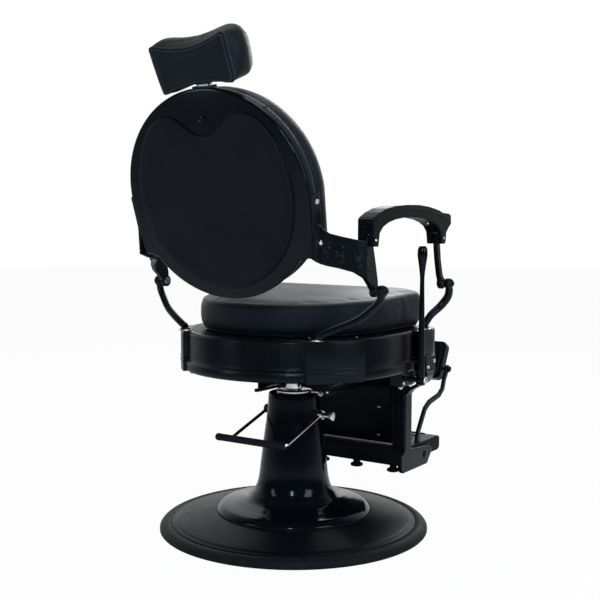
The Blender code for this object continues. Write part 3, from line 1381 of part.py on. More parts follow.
def make_pillow():
    """Pillow with a pocket in its foot for the hinge plate, the lugs and the stem's head."""
    body = "head_tilt_axis"
    back = -HEAD_BACK
    depth = HEAD_DEPTH
    steps = ((0.0, 0.006, 0.0), (0.05, 0.001, 0.0), (0.18, 0.0, 0.55), (0.40, 0.0, 1.0), (0.66, 0.0, 0.9),
             (0.86, 0.003, 0.45), (0.96, 0.010, 0.0), (1.0, 0.022, 0.0))
    rings = [pillow_ring(back + depth * share, inset, bulge) for share, inset, bulge in steps]
    pillow = add_piece("headrest_pillow", loft(rings), "leather", body)
    half = HEAD_PLATE_WIDTH / 2 + HEAD_POCKET_GAP
    reach = HEAD_PLATE_REACH + HEAD_POCKET_GAP
    low = HEAD_FOOT_RISE - 0.02
    high = HEAD_RISE + HEAD_PLATE_THICKNESS + GAP
    outline = [(-half, low), (half, low), (half, high), (-half, high)]
    cut(pillow, prism(outline, head_point, -reach, reach), body)


# ============================================================== recline lever
def make_recline_lever():
    x = -RECLINE_LEVER_X
    y = RECLINE_LEVER_Y
    body = "recline_lever_axis"
    low = RECLINE_PIVOT_HEIGHT
    top = RECLINE_LEVER_TOP
    bulb = RECLINE_BULB_RADIUS
    rod = RECLINE_ROD_RADIUS
    marks = (
        (low, rod + 0.003), (low + 0.02, rod + 0.0025), (low + 0.12, rod + 0.001),
        (top - 0.11, rod - 0.001), (top - 0.075, rod - 0.001), (top - 0.045, bulb * 0.78),
        (top - 0.022, bulb), (top - 0.010, bulb * 0.9), (top - 0.003, bulb * 0.6), (top, bulb * 0.25),
    )
    grip = bar([(x, y, z) for z, r in marks], [r for z, r in marks], 12)
    lever = add_piece("recline_lever", grip, "gloss_black", body)
    half = 0.009
    join(lever, cylinder((x - half, y, low), (x + half, y, low), RECLINE_PIVOT_RADIUS + 0.007), body)
    start = (x - 0.02, y, low)
    cut(lever, cylinder(start, (x + 0.02, y, low), RECLINE_PIVOT_RADIUS + TURN_GAP), body)


def make_lever_box():
    """Lock housing under the ring that carries the recline lever's pivot."""
    body = "seat_axis"
    half = LEVER_BOX_WIDTH / 2
    low = RING_BOTTOM - GAP - LEVER_BOX_HEIGHT
    high = RING_BOTTOM - GAP
    back = LEVER_BOX_BACK_Y
    front = back - LEVER_BOX_LENGTH
    block = box((-LEVER_BOX_X - half, front, low), (-LEVER_BOX_X + half, back, high))
    housing = add_piece("recline_housing", block, "satin_black", body)
    end = -RECLINE_LEVER_X - 0.012
    y, z = RECLINE_LEVER_Y, RECLINE_PIVOT_HEIGHT
    join(housing, cylinder((-LEVER_BOX_X, y, z), (end, y, z), RECLINE_PIVOT_RADIUS), body)


# =================================================================== footrest
def make_side_casting(side, sign):
    """Footrest side: ear on the ring's front pilaster, curved neck, post and foot."""
    body = "seat_axis"
    half = SIDE_THICKNESS / 2
    back = SIDE_BACK_Y
    front = back - SIDE_DEPTH
    place = lambda u, v, depth: Vector((sign * (SIDE_X + depth), u, v))
    foot_front = back - SIDE_FOOT_REACH
    foot_top = SIDE_BOTTOM + SIDE_FOOT_HEIGHT
    outline = [
        (STEP_BACK_Y, SIDE_BOTTOM + 0.010), (STEP_BACK_Y, foot_top), (back, foot_top + 0.012),
        (back, SIDE_TOP), (front, SIDE_TOP), (front, foot_top + 0.010), (foot_front + 0.014, foot_top),
        (foot_front, foot_top - 0.014), (foot_front + 0.030, SIDE_BOTTOM),
        (STEP_BACK_Y - 0.012, SIDE_BOTTOM),
    ]
    casting = add_piece("footrest_side_" + side, prism(outline, place, -half, half), "gloss_black", body)
    join(casting, neck_bar(sign), body)
    join(casting, side_flange(sign), body)
    join(casting, ring_ear(sign), body)


def neck_bar(sign):
    """Swept neck from the ear on the ring, in and down to the post."""
    inner = RING_RADIUS + PILASTER_REACH + GAP
    ear = Vector((sign * (inner + EAR_THICKNESS / 2), EAR_Y, RING_BOTTOM - 0.001))
    post = Vector((sign * SIDE_X, SIDE_BACK_Y - SIDE_DEPTH / 2, SIDE_TOP - 0.010))
    span = post - ear
    shares = ((0.0, 0.0, 0.0), (0.05, 0.12, 0.22), (0.24, 0.36, 0.46), (0.58, 0.66, 0.66),
              (0.86, 0.90, 0.84), (1.0, 1.0, 1.0))
    halves = (0.024, 0.019, 0.0165, 0.0160, 0.0165, 0.0170)
    rings = []
    for (a, b, c), half in zip(shares, halves):
        point = ear + Vector((span.x * a, span.y * b, span.z * c))
        thin = EAR_THICKNESS / 2
        t = thin + (SIDE_THICKNESS * 0.48 - thin) * c + 0.004 * math.sin(math.pi * a)
        rings.append([point + Vector((-t, -half, 0)), point + Vector((t, -half, 0)),
                      point + Vector((t, half, 0)), point + Vector((-t, half, 0))])
    return loft(rings)


def ring_ear(sign):
    """Flat ear that bolts to the outside of the ring's front corner panel."""
    near = RING_RADIUS + PILASTER_REACH + GAP
    low, high = sorted((sign * near, sign * (near + EAR_THICKNESS)))
    half = EAR_LENGTH / 2
    return box((low, EAR_Y - half, RING_BOTTOM - 0.008), (high, EAR_Y + half, RING_BOTTOM + 0.032))


def side_flange(sign):
    """Flange of the side casting that the shin panel is fastened behind."""
    inner = SIDE_X - SIDE_FLANGE_WIDTH
    low, high = sorted((sign * inner, sign * SIDE_X))
    bottom = STEP_TOP + STEP_RIB_HEIGHT + GAP
    front = SIDE_BACK_Y - SIDE_FLANGE_THICKNESS
    return box((low, front, bottom), (high, SIDE_BACK_Y - 0.0005, SIDE_TOP - 0.001))


def make_shin_panel():
    """Upright panel of the footrest, with a raised rim on its back."""
    half = SIDE_X - SIDE_THICKNESS / 2 - GAP
    low = STEP_TOP + STEP_RIB_HEIGHT + GAP
    back = SHIN_Y
    place = lambda u, v, depth: Vector((u, depth, v))
    outline = rounded_rectangle(half, low, SHIN_TOP, 0.006)
    board = prism(outline, place, back - SHIN_THICKNESS, back)
    panel = add_piece("shin_panel", board, "satin_black", "seat_axis")
    half -= SHIN_BORDER
    low += 0.026
    high = RAIL_BOTTOM - 0.004
    outer = rounded_rectangle(half, low, high, 0.016)
    join(panel, prism(outer, place, back - 0.001, back + SHIN_FRAME_THICKNESS), "seat_axis")
    inner = rounded_rectangle(half - 0.009, low + 0.009, high - 0.009, 0.009)
    cut(panel, prism(inner, place, back, back + 0.02), "seat_axis")


def make_step():
    """Lower footplate: a shallow upturned tray with grip ribs on top."""
    half = SIDE_X - SIDE_THICKNESS / 2 - GAP
    back = STEP_BACK_Y
    front = back - STEP_LENGTH
    low = STEP_TOP - STEP_HEIGHT
    body = "seat_axis"
    outline = [(back, low), (back, STEP_TOP - 0.004), (back - 0.006, STEP_TOP), (front + 0.008, STEP_TOP),
               (front, STEP_TOP - 0.006), (front, low + 0.006), (front + 0.012, low)]
    place = lambda u, v, depth: Vector((depth, u, v))
    step = add_piece("lower_footplate", prism(outline, place, -half, half), "gloss_black", body)
    wall = STEP_WALL
    hollow = box((-half + wall, front + wall + 0.006, low - 0.01),
                 (half - wall, back - wall, STEP_TOP - wall))
    cut(step, hollow, body)
    rib_front = front + 0.014
    rib_back = SHIN_Y - SHIN_THICKNESS - 0.014
    count = 5
    for k in range(count):
        y = rib_front + (rib_back - rib_front) * k / (count - 1)
        reach = half - 0.040
        rib_top = STEP_TOP + STEP_RIB_HEIGHT
        join(step, box((-reach, y - 0.003, STEP_TOP - 0.002), (reach, y + 0.003, rib_top)), body)


def make_bumpers():
    """Round rubber feet under the rear wall of the lower footplate."""
    y = STEP_BACK_Y - BUMPER_RADIUS - 0.010
    roof = STEP_TOP - STEP_WALL
    low = STEP_TOP - STEP_HEIGHT - BUMPER_STEM_LENGTH - BUMPER_THICKNESS
    stem = low + BUMPER_THICKNESS
    profile = [
        (0.0, low), (BUMPER_RADIUS - 0.002, low), (BUMPER_RADIUS, low + 0.003),
        (BUMPER_RADIUS - 0.001, stem), (BUMPER_STEM_RADIUS, stem + 0.001), (BUMPER_STEM_RADIUS, roof - GAP),
        (0.0, roof - GAP),
    ]
    for side, sign in SIDES:
        for name, x in (("inner", BUMPER_INNER_X), ("outer", BUMPER_OUTER_X)):
            bumper = turned(profile, SMALL, (sign * x, y))
            add_piece("bumper_%s_%s" % (name, side), bumper, "rubber", "seat_axis")


def step_arm_centres():
    """Centre line of an S-shaped arm in (y, z), from the footplate to the upper plate's pivot."""
    y0, z0 = -0.334, STEP_TOP + GAP
    y1, z1 = PLATE_PIVOT_Y, PLATE_PIVOT_HEIGHT
    shares = ((0.0, 0.0), (0.03, 0.15), (0.14, 0.32), (0.24, 0.47), (0.38, 0.55), (0.72, 0.62),
              (0.84, 0.70), (0.89, 0.84), (1.0, 1.0))
    return [(y0 + (y1 - y0) * a, z0 + (z1 - z0) * b) for a, b in shares]


def make_step_arm(side, sign):
    body = "seat_axis"
    centres = [Vector((0, y, z)) for y, z in step_arm_centres()]
    half_t = STEP_ARM_THICKNESS / 2
    edge_a, edge_b = [], []
    for i, point in enumerate(centres):
        ahead = centres[min(i + 1, len(centres) - 1)] - centres[max(i - 1, 0)]
        ahead.normalize()
        across = Vector((0, -ahead.z, ahead.y))
        half = STEP_ARM_WIDTH / 2 * (1.5 if i == 0 else 1.0)
        if i == 0:
            across = Vector((0, -1, 0))
        edge_a.append(((point + across * half).y, (point + across * half).z))
        edge_b.append(((point - across * half).y, (point - across * half).z))
    outline = edge_a + edge_b[::-1]
    place = lambda u, v, depth: Vector((sign * (STEP_ARM_X + depth), u, v))
    arm = add_piece("footplate_arm_" + side, prism(outline, place, -half_t, half_t), "gloss_black", body)
    y, z = PLATE_PIVOT_Y, PLATE_PIVOT_HEIGHT
    tip = half_t * 0.97
    join(arm, cylinder((sign * (STEP_ARM_X - tip), y, z), (sign * (STEP_ARM_X + tip), y, z), 0.0115), body)
    cut(arm, cylinder((sign * (STEP_ARM_X - 0.02), y, z), (sign * (STEP_ARM_X + 0.02), y, z),
                      PLATE_PIN_RADIUS + TURN_GAP), body)


def plate_point(u, v, depth):
    """A place on the upper footplate: across, up its slope from the pivot, and behind its face."""
    lean = math.radians(PLATE_TILT)
    y = PLATE_PIVOT.y - v * math.cos(lean) + depth * math.sin(lean)
    z = PLATE_PIVOT.z + v * math.sin(lean) + depth * math.cos(lean)
    return Vector((u, y, z))


def make_upper_plate():
    """Upper footplate between the S-shaped arms, with pivot pins and a raised face border."""
    half = PLATE_HALF_WIDTH
    body = "plate_axis"
    low = -0.034
    high = low + PLATE_LENGTH
    outline = rounded_rectangle(half, low, high, 0.014)
    back = PLATE_THICKNESS / 2
    plate = add_piece("upper_footplate", prism(outline, plate_point, -back, back), "gloss_black", body)
    inner = rounded_rectangle(half - 0.012, low + 0.012, high - 0.012, 0.008)
    cut(plate, prism(inner, plate_point, back - 0.0025, back + 0.01), body)
    end = STEP_ARM_X + STEP_ARM_THICKNESS / 2 + 0.003
    y, z = PLATE_PIVOT_Y, PLATE_PIVOT_HEIGHT
    for sign in (1.0, -1.0):
        pin = cylinder((sign * (half - 0.004), y, z), (sign * end, y, z), PLATE_PIN_RADIUS, 12)
        join(plate, pin, body)


# ====================================================================== build
def make_sides():
    for side, sign in SIDES:
        make_leg("leg_rear_" + side, sign, True)
        make_leg("leg_front_" + side, sign, False)
        make_pivot_pin("pivot_pin_rear_" + side, sign, REAR_PIVOT_Y)
        make_pivot_pin("pivot_pin_front_" + side, sign, FRONT_PIVOT_Y)
        make_front_post(side, sign)
        make_armrest(side, sign)
        make_bracket(side, sign)
        make_bracket_bolts(side, sign)
        make_side_casting(side, sign)
        make_step_arm(side, sign)


def main():
    clear_scene()
    make_axes()
    make_base()
    make_column()
    make_cylinder()
    make_pump()
    make_pump_shaft()
    make_pedal()
    make_ram()
    make_hub()
    make_lock_lever()
    make_seat_frame()
    make_rails()
    make_seat_ring()
    make_seat_pan()
    make_seat_cushion()
    make_sides()
    make_back_shell()
    make_back_frame()
    make_back_cushion()
    make_back_panel()
    make_headrest_stem()
    make_headrest_socket()
    make_headrest_plate()
    make_pillow()
    make_recline_lever()
    make_lever_box()
    make_shin_panel()
    make_step()
    make_bumpers()
    make_upper_plate()


main()
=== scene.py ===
"""Looks of the hydraulic barber chair: finishes, upholstery, fasteners and small trim.

Metres, +Z up, the chair faces -Y and the sitter's right hand is on the -X side.
"""
import json
import math

import bpy
from mathutils import Matrix, Vector
from mathutils.bvhtree import BVHTree

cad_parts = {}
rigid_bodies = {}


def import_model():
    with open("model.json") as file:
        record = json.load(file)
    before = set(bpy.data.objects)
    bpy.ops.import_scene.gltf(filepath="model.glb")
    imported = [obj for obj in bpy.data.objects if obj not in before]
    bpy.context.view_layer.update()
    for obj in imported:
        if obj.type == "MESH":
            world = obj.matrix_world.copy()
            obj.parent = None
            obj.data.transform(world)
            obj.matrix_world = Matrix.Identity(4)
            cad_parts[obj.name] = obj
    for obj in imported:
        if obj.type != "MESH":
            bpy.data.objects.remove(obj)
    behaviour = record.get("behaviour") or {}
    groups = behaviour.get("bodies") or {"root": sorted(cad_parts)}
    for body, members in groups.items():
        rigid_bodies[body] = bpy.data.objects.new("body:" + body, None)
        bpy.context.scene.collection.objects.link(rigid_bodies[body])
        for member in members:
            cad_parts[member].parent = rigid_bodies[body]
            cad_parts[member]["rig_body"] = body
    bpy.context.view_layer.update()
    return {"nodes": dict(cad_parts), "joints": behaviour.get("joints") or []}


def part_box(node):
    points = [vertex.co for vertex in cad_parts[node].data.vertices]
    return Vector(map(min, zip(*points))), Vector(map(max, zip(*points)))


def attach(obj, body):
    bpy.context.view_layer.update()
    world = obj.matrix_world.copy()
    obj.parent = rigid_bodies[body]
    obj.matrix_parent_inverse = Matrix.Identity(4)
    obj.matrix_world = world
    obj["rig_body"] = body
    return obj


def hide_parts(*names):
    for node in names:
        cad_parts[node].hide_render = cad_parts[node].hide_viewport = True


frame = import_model()

SIDES = (("left", 1.0), ("right", -1.0))

# The photograph's camera, fitted to the round base and the chair's upright lines.
CAMERA_AZIMUTH = 214.0
CAMERA_DISTANCE = 2.558
CAMERA_HEIGHT = 0.786
CAMERA_PITCH = 4.63
CAMERA_YAW = 0.324
CAMERA_ROLL = 0.20
FOCAL_PIXELS = 1017.85
FRAME_PIXELS = 600
SENSOR = 36.0
FLOOR_WHITE = 0.955       # share of plain white in the floor that the camera sees

# The backrest, in the frame's own places.
LEAN = math.radians(14.0)
BACK_MIDDLE = Vector((0.0, 0.321, 0.832))
BACK_HALF_WIDTH = 0.2515
BACK_HALF_HEIGHT = 0.241
SHELL_THICKNESS = 0.012
BAND_THICKNESS = 0.026
CUSHION_THICKNESS = 0.046
EAR_DROP = 0.140
EAR_INSET = 0.010
UNDERCUT_SLOPE = 0.75
UNDERCUT_DEPTH = 0.028
PANEL_HALF_WIDTH = 0.214
PANEL_HALF_HEIGHT = 0.214
PANEL_LOBE_HEIGHT = 0.184
PANEL_LOBE_X = 0.100
PANEL_DIP_HEIGHT = 0.138
BOSS_HEIGHT = 0.173

# The headrest, from its tilt axis.
HEAD_PIVOT = Vector(next(j["pos_m"] for j in frame["joints"] if j["name"] == "headrest_tilt"))
HEAD_LEAN = math.radians(20.5)


# ===================================================================== shaders
class Field:
    """A shader socket that reads like a number, so that masks are written as formulas."""

    def __init__(self, tree, socket):
        self.tree = tree
        self.socket = socket

    def _with(self, operation, left, right):
        return make_node(self.tree, "ShaderNodeMath", {"operation": operation}, {0: left, 1: right})

    def __add__(self, other):
        return self._with("ADD", self, other)

    def __radd__(self, other):
        return self._with("ADD", other, self)

    def __sub__(self, other):
        return self._with("SUBTRACT", self, other)

    def __rsub__(self, other):
        return self._with("SUBTRACT", other, self)

    def __mul__(self, other):
        return self._with("MULTIPLY", self, other)

    def __rmul__(self, other):
        return self._with("MULTIPLY", other, self)

    def between(self, low, high):
        """0 below low, 1 above high and smooth in between."""
        settings = {"interpolation_type": "SMOOTHSTEP"}
        return make_node(self.tree, "ShaderNodeMapRange", settings, {0: self, 1: low, 2: high})


def make_node(tree, kind, settings, values, output=0):
    """Add a node, make its settings, then fill or link its sockets; gives one output."""
    made = tree.nodes.new(kind)
    for name, value in settings.items():
        setattr(made, name, value)
    for socket, value in values.items():
        if isinstance(value, Field):
            tree.links.new(value.socket, made.inputs[socket])
        else:
            made.inputs[socket].default_value = value
    return Field(tree, made.outputs[output])


class Paint:
    """One finish: a Principled shader and the nodes that vary it over the surface."""

    def __init__(self, name, colour, roughness, metallic=0.0, fixed=None):
        self.material = bpy.data.materials.new(name)
        self.material.use_nodes = True
        self.tree = self.material.node_tree
        self.shader = self.tree.nodes["Principled BSDF"]
        self.colour = colour
        self.shader.inputs["Base Color"].default_value = (*colour, 1.0)
        self.shader.inputs["Roughness"].default_value = roughness
        self.shader.inputs["Metallic"].default_value = metallic
        for socket, value in (fixed or {}).items():
            self.shader.inputs[socket].default_value = value
        self.place = self.node("ShaderNodeTexCoord", {}, {}, "Object")

    def node(self, kind, settings, values, output=0):
        return make_node(self.tree, kind, settings, values, output)

    def feed(self, socket, field):
        self.tree.links.new(field.socket, self.shader.inputs[socket])

    def noise(self, scale, detail=3.0, place=None):
        values = {"Vector": place or self.place, "Scale": scale, "Detail": detail}
        return self.node("ShaderNodeTexNoise", {}, values)

    def cell_edges(self, scale):
        """Distance to the nearest border between cells."""
        values = {"Vector": self.place, "Scale": scale}
        return self.node("ShaderNodeTexVoronoi", {"feature": "DISTANCE_TO_EDGE"}, values)

    def stretched(self, scale):
        return self.node("ShaderNodeMapping", {}, {"Vector": self.place, "Scale": scale})

    def shade(self, mask, dark, light):
        """Colour that runs from dark to light multiples of the finish's own colour."""
        ends = [(*[channel * share for channel in self.colour], 1.0) for share in (dark, light)]
        values = {0: mask, 6: ends[0], 7: ends[1]}
        mixed = self.node("ShaderNodeMix", {"data_type": "RGBA"}, values, 2)
        self.feed("Base Color", mixed)

    def relief(self, height, distance):
        values = {"Height": height, "Distance": distance, "Strength": 1.0}
        self.feed("Normal", self.node("ShaderNodeBump", {}, values))


COOL = (0.72, 0.86, 1.0, 1.0)    # the dark finishes shine slightly blue
MOULDED_SHINE = 0.14


def dark_paint(name, colour, roughness, shine):
    """A dark finish that isn't metal, with a little blue in what it mirrors."""
    return Paint(name, colour, roughness, 0.0, {"Specular IOR Level": shine, "Specular Tint": COOL})


def enamel(name, colour, roughness, shine):
    """Gloss enamel with a faint orange peel, a little dust and fine rub marks."""
    paint = dark_paint(name, colour, roughness, shine)
    dust = paint.noise(14.0, 5.0)
    peel = paint.noise(260.0, 1.0)
    rubs = paint.noise(1.0, 4.0, paint.stretched((90.0, 90.0, 9.0))).between(0.55, 0.75)
    paint.shade(dust, 0.7, 1.4)
    paint.feed("Roughness", roughness + dust * 0.07 + rubs * 0.05 - 0.03)
    paint.relief(peel * 0.6 + dust * 0.4, 0.00006)
    return paint.material


def casting(name, colour, roughness, shine):
    """Painted cast metal: soft sheen over the slight unevenness of a sand mould."""
    paint = dark_paint(name, colour, roughness, shine)
    broad = paint.noise(28.0, 3.0)
    grit = paint.noise(520.0, 2.0)
    paint.shade(broad, 0.7, 1.4)
    paint.feed("Roughness", roughness + broad * 0.14 + grit * 0.05 - 0.09)
    paint.relief(broad * 0.75 + grit * 0.25, 0.00013)
    return paint.material


def hide(name, colour, roughness, pebble, shine):
    """Upholstery leather: pebbled grain with creases between the pebbles, painted shade in the creases, and
    soft wear.
    """
    paint = dark_paint(name, colour, roughness, shine)
    drift = paint.noise(30.0, 2.0)
    crease_and_painted_shade = paint.cell_edges(pebble).between(0.0, 0.22)
    pore = paint.noise(pebble * 3.2, 2.0)
    wear = paint.noise(5.0, 3.0).between(0.35, 0.75)
    # The creases are painted darker, a painted shade in the grain's hollows; the wear noise varies the tone
    # at random.
    paint.shade(crease_and_painted_shade * 0.55 + wear * 0.45, 0.60, 1.40)
    paint.feed("Roughness", roughness + 0.10 * drift - 0.10 * wear + 0.08 * (1 - crease_and_painted_shade))
    paint.relief(crease_and_painted_shade * 0.8 + pore * 0.2, 0.00014)
    return paint.material


def bright(name, colour, roughness):
    """Plated metal with faint polishing marks and a little haze."""
    paint = Paint(name, colour, roughness, 1.0)
    haze = paint.noise(22.0, 4.0)
    marks = paint.noise(1.0, 3.0, paint.stretched((60.0, 60.0, 700.0)))
    paint.shade(haze, 0.86, 1.06)
    paint.feed("Roughness", roughness + haze * 0.06 + marks * 0.04 - 0.03)
    paint.relief(marks, 0.00001)
    return paint.material


def moulded(name, colour, roughness):
    """Matt rubber or plastic with a fine moulded grain."""
    paint = dark_paint(name, colour, roughness, MOULDED_SHINE)
    grain = paint.noise(900.0, 2.0)
    scuff = paint.noise(40.0, 4.0).between(0.5, 0.8)
    paint.shade(scuff, 0.9, 1.7)
    paint.feed("Roughness", roughness + scuff * 0.12 - 0.04)
    paint.relief(grain, 0.00008)
    return paint.material


GLOSS = enamel("gloss_enamel", (0.0018, 0.0026, 0.0042), 0.11, 0.20)
SATIN = casting("satin_casting", (0.0030, 0.0038, 0.0056), 0.35, 0.075)
STEP_CAST = casting("step_casting", (0.0040, 0.0046, 0.0060), 0.52, 0.10)
GLOSS_CAST = casting("gloss_casting", (0.0024, 0.0034, 0.0054), 0.22, 0.20)
RING_GLOSS = enamel("ring_enamel", (0.0018, 0.0028, 0.0046), 0.26, 0.20)
LEATHER = hide("seat_leather", (0.0034, 0.0053, 0.0090), 0.37, 520.0, 0.19)
PANEL_LEATHER = hide("panel_leather", (0.0040, 0.0050, 0.0076), 0.46, 620.0, 0.12)
CHROME = bright("chrome_plate", (0.74, 0.75, 0.77), 0.10)
STEEL = bright("plain_steel", (0.42, 0.43, 0.45), 0.30)
# Chrome darkened to stand for shade and dark reflections: painted shade and painted reflection on chrome
# parts.
SHADED_CHROME = bright("shaded_chrome", (0.050, 0.053, 0.060), 0.20)
RUBBER = moulded("black_rubber", (0.0060, 0.0066, 0.0080), 0.58)
# Grey-blue stitching thread: partly the thread's own colour, partly a painted glint along the seams.
THREAD_AND_GLINT = moulded("thread_with_painted_glint", (0.070, 0.090, 0.120), 0.50)


# ============================================================ modelling helpers
def take(*pieces):
    """Select only these pieces; the last is the active one."""
    if bpy.context.object and bpy.context.object.mode != "OBJECT":
        bpy.ops.object.mode_set(mode="OBJECT")
    bpy.ops.object.select_all(action="DESELECT")
    for piece in pieces:
        piece.select_set(True)
        bpy.context.view_layer.objects.active = piece


def edit(piece):
    take(piece)
    bpy.ops.object.mode_set(mode="EDIT")
    bpy.ops.mesh.select_all(action="SELECT")


def rest():
    bpy.ops.object.mode_set(mode="OBJECT")


def modify(piece, kind, **settings):
    """Add a modifier, set it and apply it."""
    take(piece)
    step = piece.modifiers.new(kind.lower(), kind)
    for name, value in settings.items():
        setattr(step, name, value)
    bpy.ops.object.modifier_apply(modifier=step.name)


def settle(piece):
    """Put a piece's place, turn and scale into its mesh."""
    take(piece)
    bpy.ops.object.transform_apply(location=True, rotation=True, scale=True)


def stand(piece, centre, direction):
    """Turn a piece made along +Z to a direction and move it to its centre."""
    turn = Vector(direction).to_track_quat("Z", "Y").to_matrix().to_4x4()
    piece.matrix_world = Matrix.Translation(Vector(centre)) @ turn
    settle(piece)


def give(piece, name, body, finish, stands_for=(), sharp=35.0):
    """Name a finished piece and say what it rides on, shows and stands for."""
    piece.name = name
    piece.data.name = name
    piece.data.materials.clear()
    piece.data.materials.append(finish)
    take(piece)
    bpy.ops.object.shade_smooth_by_angle(angle=math.radians(sharp))
    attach(piece, body)
    if stands_for:
        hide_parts(*stands_for)
    return piece


def body_of(node):
    return frame["nodes"][node]["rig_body"]


def linked(name, data):
    """New object in the scene for a mesh, a curve or a lamp."""
    piece = bpy.data.objects.new(name, data)
    bpy.context.scene.collection.objects.link(piece)
    return piece


def copy_of(node):
    """A merged copy of a CAD node's mesh, to be worked on as a new piece."""
    piece = linked(node + "_copy", frame["nodes"][node].data.copy())
    edit(piece)
    bpy.ops.mesh.remove_doubles(threshold=0.00002)
    rest()
    return piece


def cast(node, finish, voxel, rounds, extras=()):
    """A casting: the node's form with its raised details, all edges softened as by a mould."""
    piece = copy_of(node)
    if extras:
        take(*extras, piece)
        bpy.ops.object.join()
    modify(piece, "REMESH", mode="VOXEL", voxel_size=voxel)
    modify(piece, "SMOOTH", factor=0.5, iterations=rounds)
    return give(piece, node + "_cast", body_of(node), finish, (node,), 60.0)


def trimmed(node, finish, width):
    """A pressed or machined piece: the node's form with small round edges."""
    piece = copy_of(node)
    edit(piece)
    bpy.ops.mesh.dissolve_limited(angle_limit=math.radians(0.6))
    rest()
    modify(piece, "BEVEL", width=width, segments=2, limit_method="ANGLE",
           angle_limit=math.radians(40.0), use_clamp_overlap=False)
    return give(piece, node + "_trimmed", body_of(node), finish, (node,), 38.0)


def plain(finish, *nodes):
    """A CAD node whose form is right keeps it and gets a finish."""
    for node in nodes:
        mesh = frame["nodes"][node].data
        mesh.materials.clear()
        mesh.materials.append(finish)


def spun(profile, steps=64):
    """Extrude a profile of (radius, height) points and spin it about +Z into a closed piece."""
    bpy.ops.mesh.primitive_plane_add(size=0.01)
    piece = bpy.context.object
    edit(piece)
    bpy.ops.mesh.merge(type="CENTER")
    at = Vector((profile[0][0], 0.0, profile[0][1]))
    bpy.ops.transform.translate(value=at)
    for radius, height in profile[1:]:
        goal = Vector((radius, 0.0, height))
        bpy.ops.mesh.extrude_vertices_move(TRANSFORM_OT_translate={"value": goal - at})
        at = goal
    bpy.ops.mesh.select_all(action="SELECT")
    bpy.ops.mesh.spin(steps=steps, angle=math.tau, center=(0, 0, 0), axis=(0, 0, 1))
    bpy.ops.mesh.select_all(action="SELECT")
    bpy.ops.mesh.remove_doubles(threshold=0.00001)
    bpy.ops.mesh.normals_make_consistent(inside=False)
    rest()
    return piece


def flowing(points, steps):
    """Points on a smooth curve through the given points."""
    points = [Vector(point) for point in points]
    padded = [2 * points[0] - points[1]] + points + [2 * points[-1] - points[-2]]
    route = []
    for a, b, c, d in zip(padded, padded[1:], padded[2:], padded[3:]):
        for k in range(steps):
            t = k / steps
            route.append(0.5 * (2 * b + (c - a) * t + (2 * a - 5 * b + 4 * c - d) * t ** 2
                                + (3 * b - a - 3 * c + d) * t ** 3))
    return route + [points[-1]]


def poly_curve(places, closed, dimensions="3D"):
    """Curve of straight steps through the places."""
    curve = bpy.data.curves.new("route", "CURVE")
    curve.dimensions = dimensions
    line = curve.splines.new("POLY")
    line.points.add(len(places) - 1)
    for point, place in zip(line.points, places):
        point.co = (*place, 1.0)
    line.use_cyclic_u = closed
    return curve


def as_mesh(curve, closed):
    """The mesh of a bevelled curve, with its ends filled."""
    curve.use_fill_caps = not closed
    take(linked("route", curve))
    bpy.ops.object.convert(target="MESH")
    return bpy.context.object


def tube(route, radius, closed=False, sides=10):
    """Round rod, welt or thread along a route."""
    curve = poly_curve(route, closed)
    curve.bevel_depth = radius
    curve.bevel_resolution = max(sides // 2 - 2, 1)
    return as_mesh(curve, closed)


def joined(pieces):
    take(*pieces)
    bpy.ops.object.join()
    return bpy.context.object


def skin(rings):
    """Closed form over a stack of rings with equal counts, capped at both ends."""
    count = len(rings[0])
    points = [point for ring in rings for point in ring]
    faces = [tuple(range(count))[::-1]]
    for row in range(len(rings) - 1):
        base = row * count
        for i in range(count):
            j = (i + 1) % count
            faces.append((base + i, base + j, base + count + j, base + count + i))
    faces.append(tuple(range((len(rings) - 1) * count, len(rings) * count)))
    return cleaned("skin", points, faces)


def cleaned(name, points, faces):
    """Piece from points and faces, with its normals outwards."""
    mesh = bpy.data.meshes.new(name)
    mesh.from_pydata(points, [], faces)
    piece = linked(name, mesh)
    edit(piece)
    bpy.ops.mesh.normals_make_consistent(inside=False)
    rest()
    return piece


STUFFING_PRESSURE = 4.0
STUFFING_FRAMES = 20
KEPT_OUTWARD = 0.9        # share of the cloth's inward move that is given back


def plump(piece, voxel, cap):
    """Stuff a cushion: cloth pressure swells it, within a limit, and hardly draws it in."""
    modify(piece, "REMESH", mode="VOXEL", voxel_size=voxel)
    modify(piece, "SMOOTH", factor=0.5, iterations=3)
    start = [(point.co.copy(), point.normal.copy()) for point in piece.data.vertices]
    take(piece)
    cloth = piece.modifiers.new("stuffing", "CLOTH")
    cloth.settings.use_pressure = True
    cloth.settings.uniform_pressure_force = STUFFING_PRESSURE
    cloth.settings.quality = 4
    cloth.settings.effector_weights.gravity = 0.0
    cloth.collision_settings.use_collision = False
    cloth.point_cache.frame_start = 1
    cloth.point_cache.frame_end = STUFFING_FRAMES
    for number in range(1, STUFFING_FRAMES + 1):
        bpy.context.scene.frame_set(number)
    bpy.ops.object.modifier_apply(modifier=cloth.name)
    bpy.context.scene.frame_set(1)
    for point, (before, outward) in zip(piece.data.vertices, start):
        move = point.co - before
        move -= outward * min(move.dot(outward), 0.0) * KEPT_OUTWARD
        if move.length > cap:
            move = move.normalized() * cap
        point.co = before + move
    modify(piece, "SMOOTH", factor=0.5, iterations=2)
    modify(piece, "SUBSURF", levels=1, render_levels=1)


def lying_on(piece, route, lift):
    """The same route moved onto a piece's surface, or a little above it."""
    tree = faces_of(piece.data)
    placed = []
    for point in route:
        place, normal, _, _ = tree.find_nearest(point)
        placed.append(place + normal * lift)
    return placed


